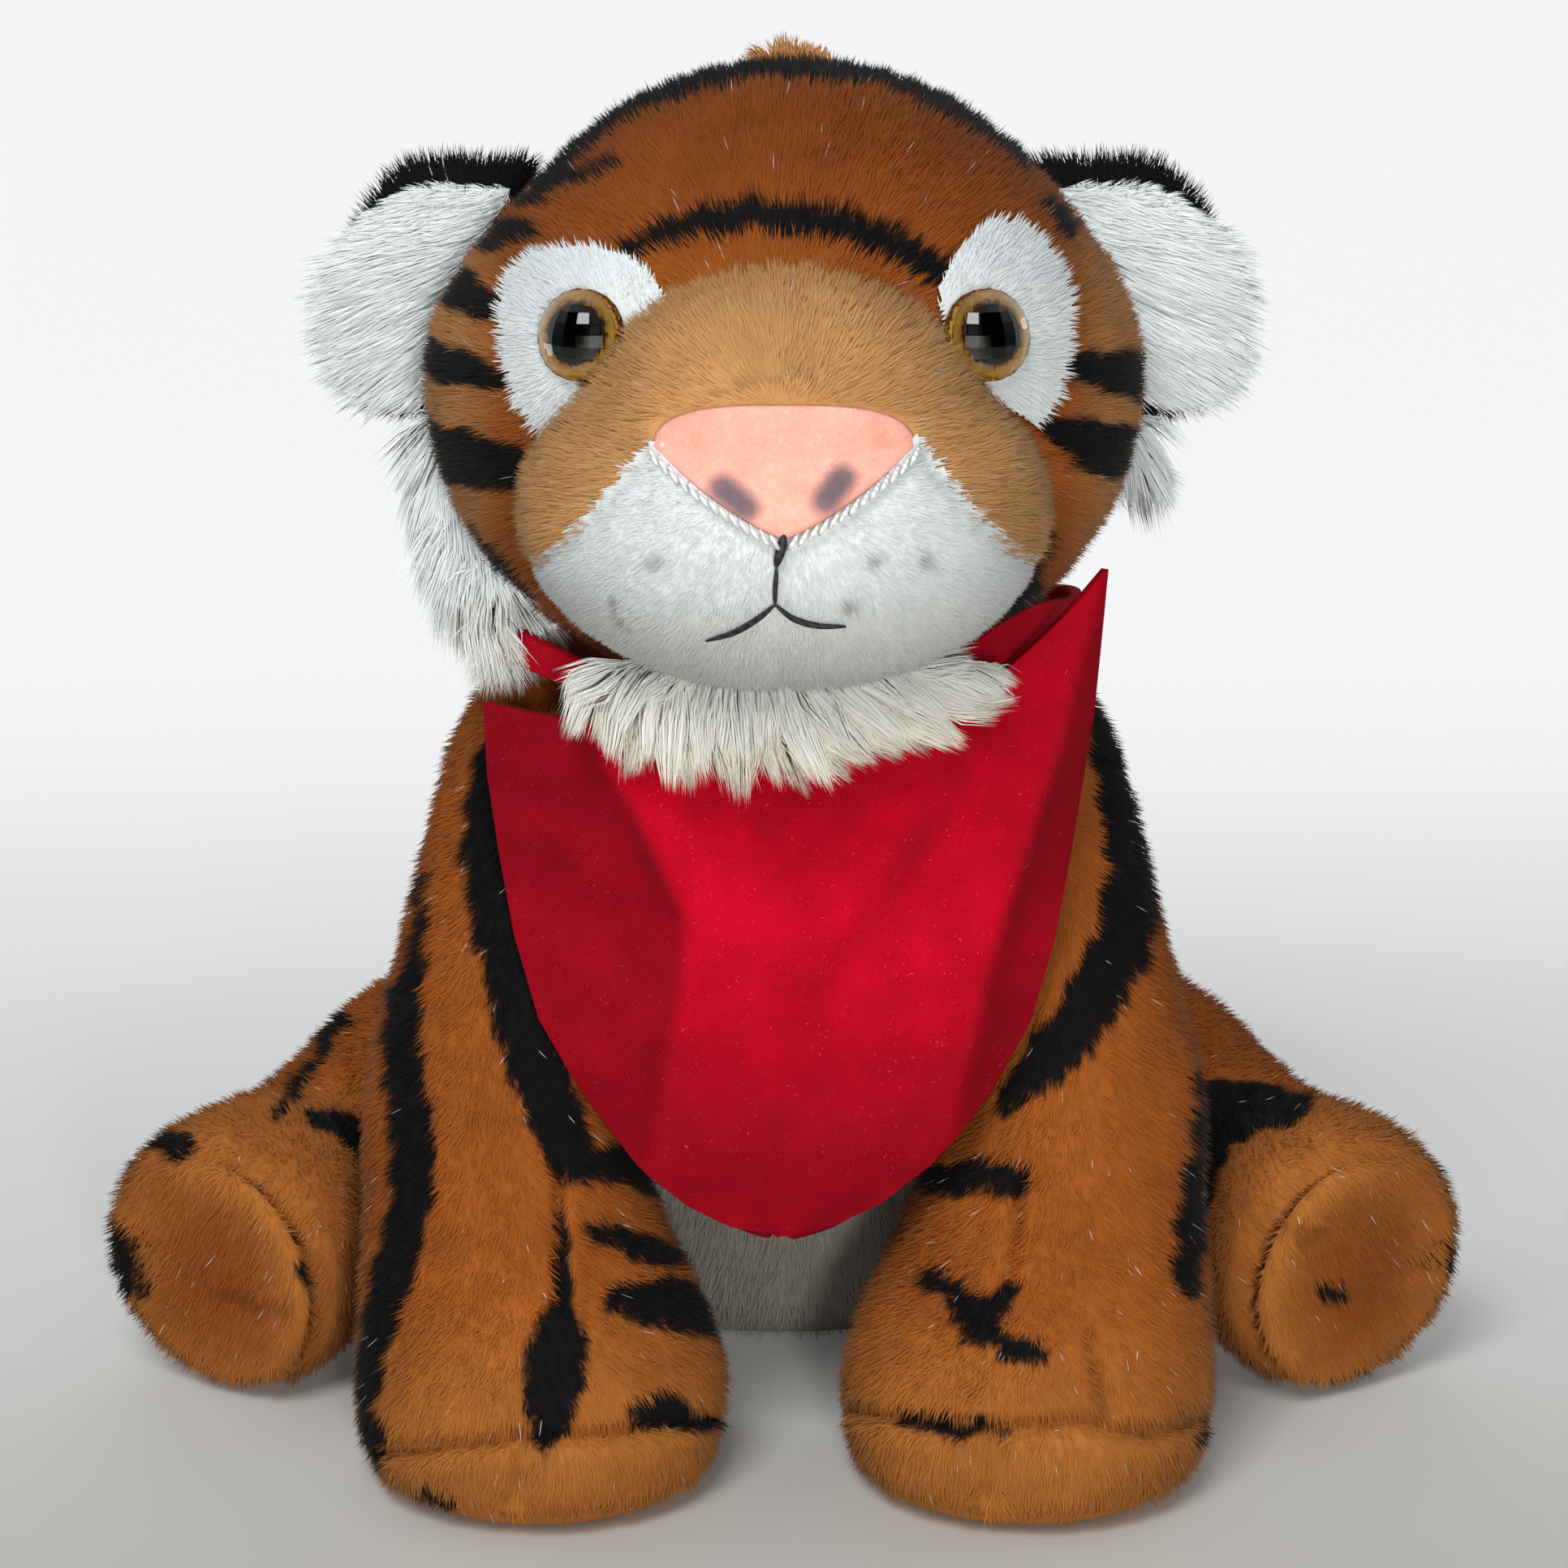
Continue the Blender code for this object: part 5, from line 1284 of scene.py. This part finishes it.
def hip_and_foot(side):
    """The middle of a thigh's ball and the middle of the foot's face."""
    return np.array((side * HIP[0], HIP[1], THIGH_RADIUS - 0.0005)), np.array((side * FOOT[0], *FOOT[1:]))


def hind_skin(side, grow, rows=100, around=110):
    """A bag round the line from hip to foot, which bows outward as half a sine."""
    start, end = hip_and_foot(side)
    along, wide, tall = np.array(HIND_STATIONS).T[:, :, None]
    middles = start + (end - start) * along
    middles[:, :1] += side * HIND_BOW * np.sin(math.pi * np.maximum(along, 0))
    stations = eased(np.hstack((middles, wide * FOOT_WIDE + grow, tall * FOOT_TALL + grow)), rows)
    grid = swept(stations[:, :3], stations[:, 3:], around)
    grid[..., 2] = np.maximum(grid[..., 2], GROUND)
    return grid


def hind_paint(word):
    """Orange, sandier at the foot, with the strokes in front and bars across the thigh behind."""
    def paint(points, ways):
        x, y, z = points.T
        base = blended(ORANGE, FOOT_TONE, np.clip((0.006 - y) / 0.016, 0, 0.6))
        bar = bars(np.abs(x) * 0.6 - y * 0.8 + 0.0012 * np.sin(z * 300), LEG_BARS, LEG_BAR)
        bar *= (1 - in_front(points, ways)) * held((z - 0.008) / 0.004)
        return dyed(base, np.maximum(bar, strokes(points, ways, HIND_LINES[word])))
    return paint


def sole_paint(word, middle):
    """Rust in the middle and sandier out to the rim, with a shaded crease and one black claw."""
    def paint(points, ways):
        rim = held(np.linalg.norm(points - middle, axis=1) / HIND_SOLE) ** 2
        crease = strokes(points, ways, (CREASES[word],), 2.0) * 0.35
        base = blended(blended(SOLE_TONE, SOLE_RIM, rim), SHADE, crease)
        return dyed(base, strokes(points, ways, (CLAWS[word],), 2.0))
    return paint


def toward_foot(points, ways):
    """The nap of a hind leg: along it to the foot, and down."""
    x, y, z = points.T
    return np.stack((np.sign(x), y * 0 - 1, z * 0 - 1), axis=1) * (0.6, 0.8, 0.4)


def hind_open(points, ways):
    """No strands on the table, and none inside the torso."""
    return clear_of_table(points, ways) * thinner_behind(ways) * (np.abs(points[:, 0]) > 0.030)


for side, word in ((-1, "left"), (1, "right")):
    leg = fur("hind_leg_fur_" + word, hind_skin(side, -SKIN_BELOW), hind_paint(word), plush, PILE, PILE_LEAN,
              toward_foot, 3.6, PILE_WIDE, 60 + side, where=hind_open)
    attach(leg, "hind_leg_" + word)
    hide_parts("hind_leg_" + word)
    start, end = hip_and_foot(side)
    levels, widths = np.array(SOLE_PUFF).T[:, :, None]
    middles = end + unit(end - start) * (levels * (HIND_CLOTH + 0.0008) - 0.0004)
    puffed = eased(np.hstack((middles, widths * np.ones(2) * (HIND_SOLE + 0.0016))), 34)
    sole = fur("hind_sole_fur_" + word, swept(puffed[:, :3], puffed[:, 3:], 70), sole_paint(word, end), plush,
               0.0024, PILE_LEAN, down, 4.5, 0.00032, 64 + side, where=clear_of_table)
    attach(sole, "hind_leg_" + word)
    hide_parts("hind_sole_" + word)


# Tail: a stuffed tube, ringed in black, that curls to one side behind the seat and ends in a black tip.
TAIL_BACK, TAIL_OUT, TAIL_DEPTH, TAIL_RADII = 0.056, 0.046, 0.0185, (0.0070, 0.0060)
TAIL_ROUTE = ((0.00, 0.00), (0.02, 0.42), (0.12, 0.80), (0.36, 1.00), (0.64, 1.00), (0.88, 0.88),
              (1.00, 0.78))
TAIL_ROWS, TAIL_SPLIT, TAIL_END = 96, 71, 18
thick = np.linspace(*TAIL_RADII, len(TAIL_ROUTE))
out, back = np.array(TAIL_ROUTE).T
tail_rows = np.stack((out * TAIL_OUT, TAIL_BACK + back * TAIL_DEPTH, thick - 0.0005, thick, thick), axis=1)
tail_rows = eased(tail_rows, TAIL_ROWS)
tail_rows[-TAIL_END:, 3:] *= np.sqrt(1 - np.linspace(0, 0.97, TAIL_END) ** 2)[:, None]
tail_rows[:, 3:] -= SKIN_BELOW * 0.6


def tail_paint(points, ways):
    """Orange, with black rings from 3 mm out."""
    x, _, z = points.T
    rings = bars(x + 0.0008 * np.sin(z * 700), 0.0105, 0.0021, 0.0085)
    return dyed(ORANGE, rings * held((x - 0.003) / 0.001))


def along_tail(points, ways):
    """The nap of the tail: out along it."""
    return np.array((1.0, 0.2, -0.1)) * np.ones_like(points)


for name, rows, paint, replaced, slot, seed in (
    ("tail_fur", tail_rows[:TAIL_SPLIT + 1], tail_paint, "tail", "orange_fur", 70),
    ("tail_tip_fur", tail_rows[TAIL_SPLIT + 1:], plain(BLACK), "tail_tip", "black_fur", 71),
):
    grid = swept(rows[:, :3], rows[:, 3:], 48)
    grid[..., 2] = np.maximum(grid[..., 2], GROUND)
    made = fur(name, grid, paint, plush, 0.0030, PILE_LEAN, along_tail, 3.2, PILE_WIDE, seed,
               where=clear_of_table)
    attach(made, "tail")
    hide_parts(replaced)


# Bib: a flap of red wool felt that hangs from a band of the same felt, sewn round the neck.
# The flap folds back at both flanks, and its right corner stands up beside the cheek.
FELT = 0.0016
BIB_TOP, BIB_LENGTH, BIB_WIDE, BIB_AHEAD, BIB_WRAP, BIB_LEAN = 0.104, 0.068, 0.040, 0.042, 0.052, 0.007
BIB_FOLD, BIB_FOLD_WIDE, BIB_CORNER, BIB_FLARE = 0.0008, 0.0050, 0.0185, 0.0030
BIB_OUTLINE = ((0.00, 1.00), (0.15, 0.99), (0.30, 0.95), (0.45, 0.90), (0.60, 0.82), (0.74, 0.67),
               (0.86, 0.49), (0.94, 0.32), (0.985, 0.17), (1.00, 0.06))
BIB_FOLDS = ((0.00, -0.0265, 0.0385), (0.15, -0.0190, 0.0345), (0.37, -0.0118, 0.0285),
             (0.50, -0.0125, 0.0258), (0.75, -0.0155, 0.0225), (1.00, -0.0190, 0.0210))


def felt_sheet(name, grid, closed, tone):
    """A sheet of red felt over a grid, with a softened edge; its colour is darkened by painted shade where
    tone is under 1.
    """
    rows, cols = grid.shape[:2]
    index = np.arange(rows * cols).reshape(rows, cols)
    last = np.concatenate((index, index[:, :1]), axis=1) if closed else index
    corners = np.stack((last[:-1, :-1], last[:-1, 1:], last[1:, 1:], last[1:, :-1]), axis=-1).reshape(-1, 4)
    mesh = bpy.data.meshes.new(name)
    mesh.from_pydata(grid.reshape(-1, 3).tolist(), [], corners.tolist())
    mesh.update()
    mesh.shade_smooth()
    mesh.materials.append(red_felt)
    tint = np.ones((rows * cols, 4), dtype=np.float32)
    tint[:, :3] = np.broadcast_to(tone, (rows, cols)).reshape(-1, 1)
    mesh.color_attributes.new("dye", "FLOAT_COLOR", "POINT").data.foreach_set("color", tint.ravel())
    made = nodes.new(name, mesh)
    bpy.context.collection.objects.link(made)
    wall = made.modifiers.new("felt", "SOLIDIFY")
    wall.thickness, wall.offset = FELT, 0
    edge = made.modifiers.new("edge", "BEVEL")
    edge.width, edge.segments, edge.limit_method = FELT * 0.28, 2, "ANGLE"
    return made


def behind_folds(x, drop):
    """How far a place lies out beyond the left fold and beyond the right one, zero between them."""
    drops, left, right = np.array(BIB_FOLDS).T
    return np.maximum(np.interp(drop, drops, left) - x, 0), np.maximum(x - np.interp(drop, drops, right), 0)


def bib_across(across, drop):
    """How far out a place on the bib lies, from its share of the half width at its height."""
    return across * BIB_WIDE * np.interp(drop, *np.array(BIB_OUTLINE).T)


def bib_crease(x, drop, start, half, waves):
    """A crease that runs from upper right to lower left as a bell of the distance to its line."""
    line = BIB_WIDE * (start - 1.15 * drop)
    return np.exp(-(((x - line) / half) ** 2)) * held(np.sin(np.pi * drop * waves))


def bib_place(across, drop):
    """The felt's places: round the chest at the top, flatter below and leaning out, both flanks folded back.

    Past a fold the depth falls as one minus an exponential, then evenly; a bell raises the fold's edge."""
    x = bib_across(across, drop)
    chest = BIB_AHEAD * np.sqrt(1 - (x / BIB_WRAP) ** 2)
    depth = chest + (BIB_AHEAD - chest) * np.minimum(1, drop * 1.5) * 0.7 + BIB_LEAN * drop
    fade = held(drop * 6) * held((1.05 - drop) * 3)
    for beyond in behind_folds(x, drop):
        edge = np.exp(-((beyond / BIB_FOLD_WIDE) ** 2))
        depth += fade * (BIB_FOLD * edge - 0.0026 * (1 - np.exp(-beyond / 0.0035)) - 0.08 * beyond)
    depth += 0.0009 * bib_crease(x, drop, 0.62, 0.0035, 1.6) + 0.0004 * np.sin(across * 5 + drop * 7) * drop
    corner = held((across - 0.40) / 0.60) ** 1.5 * held(1 - drop * 2.5) ** 1.5
    height = BIB_TOP - BIB_LENGTH * drop + BIB_CORNER * corner
    return np.stack((x + BIB_FLARE * corner, -depth, height), axis=-1)


def bib_painted_shade(across, drop):
    """Painted shade: the felt is darker on the flanks, in the crease and toward its foot, where they turn
    from the light.
    """
    x = bib_across(across, drop)
    left, right = behind_folds(x, drop)
    fade = held(1.35 - drop)
    tone = 1 - (0.50 * held(left / 0.0018) + 0.54 * held(right / 0.0018)) * fade
    crease = bib_crease(x, drop, 0.70, 0.0030, 1.8)
    return tone * (1 - 0.16 * crease) * (1 - 0.50 * held((drop - 0.45) / 0.45))


# Wool felt, dyed red: matted fibres with no weave, a cloudy tone at 4 mm, painted glints of single fibres,
# and the painted shade that each sheet carries.
# The fibres are drawn at 0.6 mm, coarser than real ones, so that they show.
red_felt, tree, shader, place = surface("red_wool_felt", Roughness=0.95, Specular_IOR_Level=0.12)
fibre = noise(tree, place, 1500.0, 4.0, Distortion=2.0)
tone = ramp(tree, noise(tree, place, 120.0, 3.0), (0.3, "#A6001B"), (0.7, "#C20023"))
painted_glints = mixed(tree, ranged(tree, fibre, 0.66, 0.76), tone, "#F04C68")
# Painted glints of pale pink on single fibres, times the painted shade of the sheet.
tree.links.new(mixed(tree, 1, painted_glints, dye_in(tree), "MULTIPLY"), shader.inputs["Base Color"])
lumpy(tree, shader, fibre, 0.4, 0.0004)

across, drop = np.meshgrid(np.linspace(-1, 1, 101), np.linspace(0, 1, 100) ** 0.85)
bib = felt_sheet("bib_felt", bib_place(across, drop), False, bib_painted_shade(across, drop))
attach(bib, "bib")
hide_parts("bib")

BAND_WIDE, BAND_BACK, BAND_SIDE_RISE, BAND_BACK_DROP = 0.0405, 0.0245, 0.0032, 0.0085
BAND_TALL, BAND_FRONT_TALL, BAND_SWELL = 0.0050, 0.0018, 0.0048
SWELL_TURN, SWELL_WIDE = math.radians(-38), math.radians(24)
turn, up = np.meshgrid(np.linspace(0, 2 * np.pi, 360, endpoint=False), np.linspace(0, 1, 9))
ahead, behind = np.maximum(0, -np.sin(turn)), np.maximum(0, np.sin(turn))
low = BIB_TOP + GAP + BAND_SIDE_RISE * (1 - ahead**6) - BAND_BACK_DROP * behind**2
away = np.arctan2(np.sin(turn - SWELL_TURN), np.cos(turn - SWELL_TURN))
tall = BAND_TALL + (BAND_FRONT_TALL - BAND_TALL) * ahead**4 + BAND_SWELL * np.exp(-((away / SWELL_WIDE) ** 2))
deep = np.where(np.sin(turn) > 0, BAND_BACK, BIB_AHEAD)
ring = np.stack((BAND_WIDE * np.cos(turn), deep * np.sin(turn), low + tall * up), axis=-1)
# The band is darkened evenly to 0.9 by painted shade.
band = felt_sheet("band_felt", ring, True, 0.9)
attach(band, "torso")
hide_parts("bib_band")
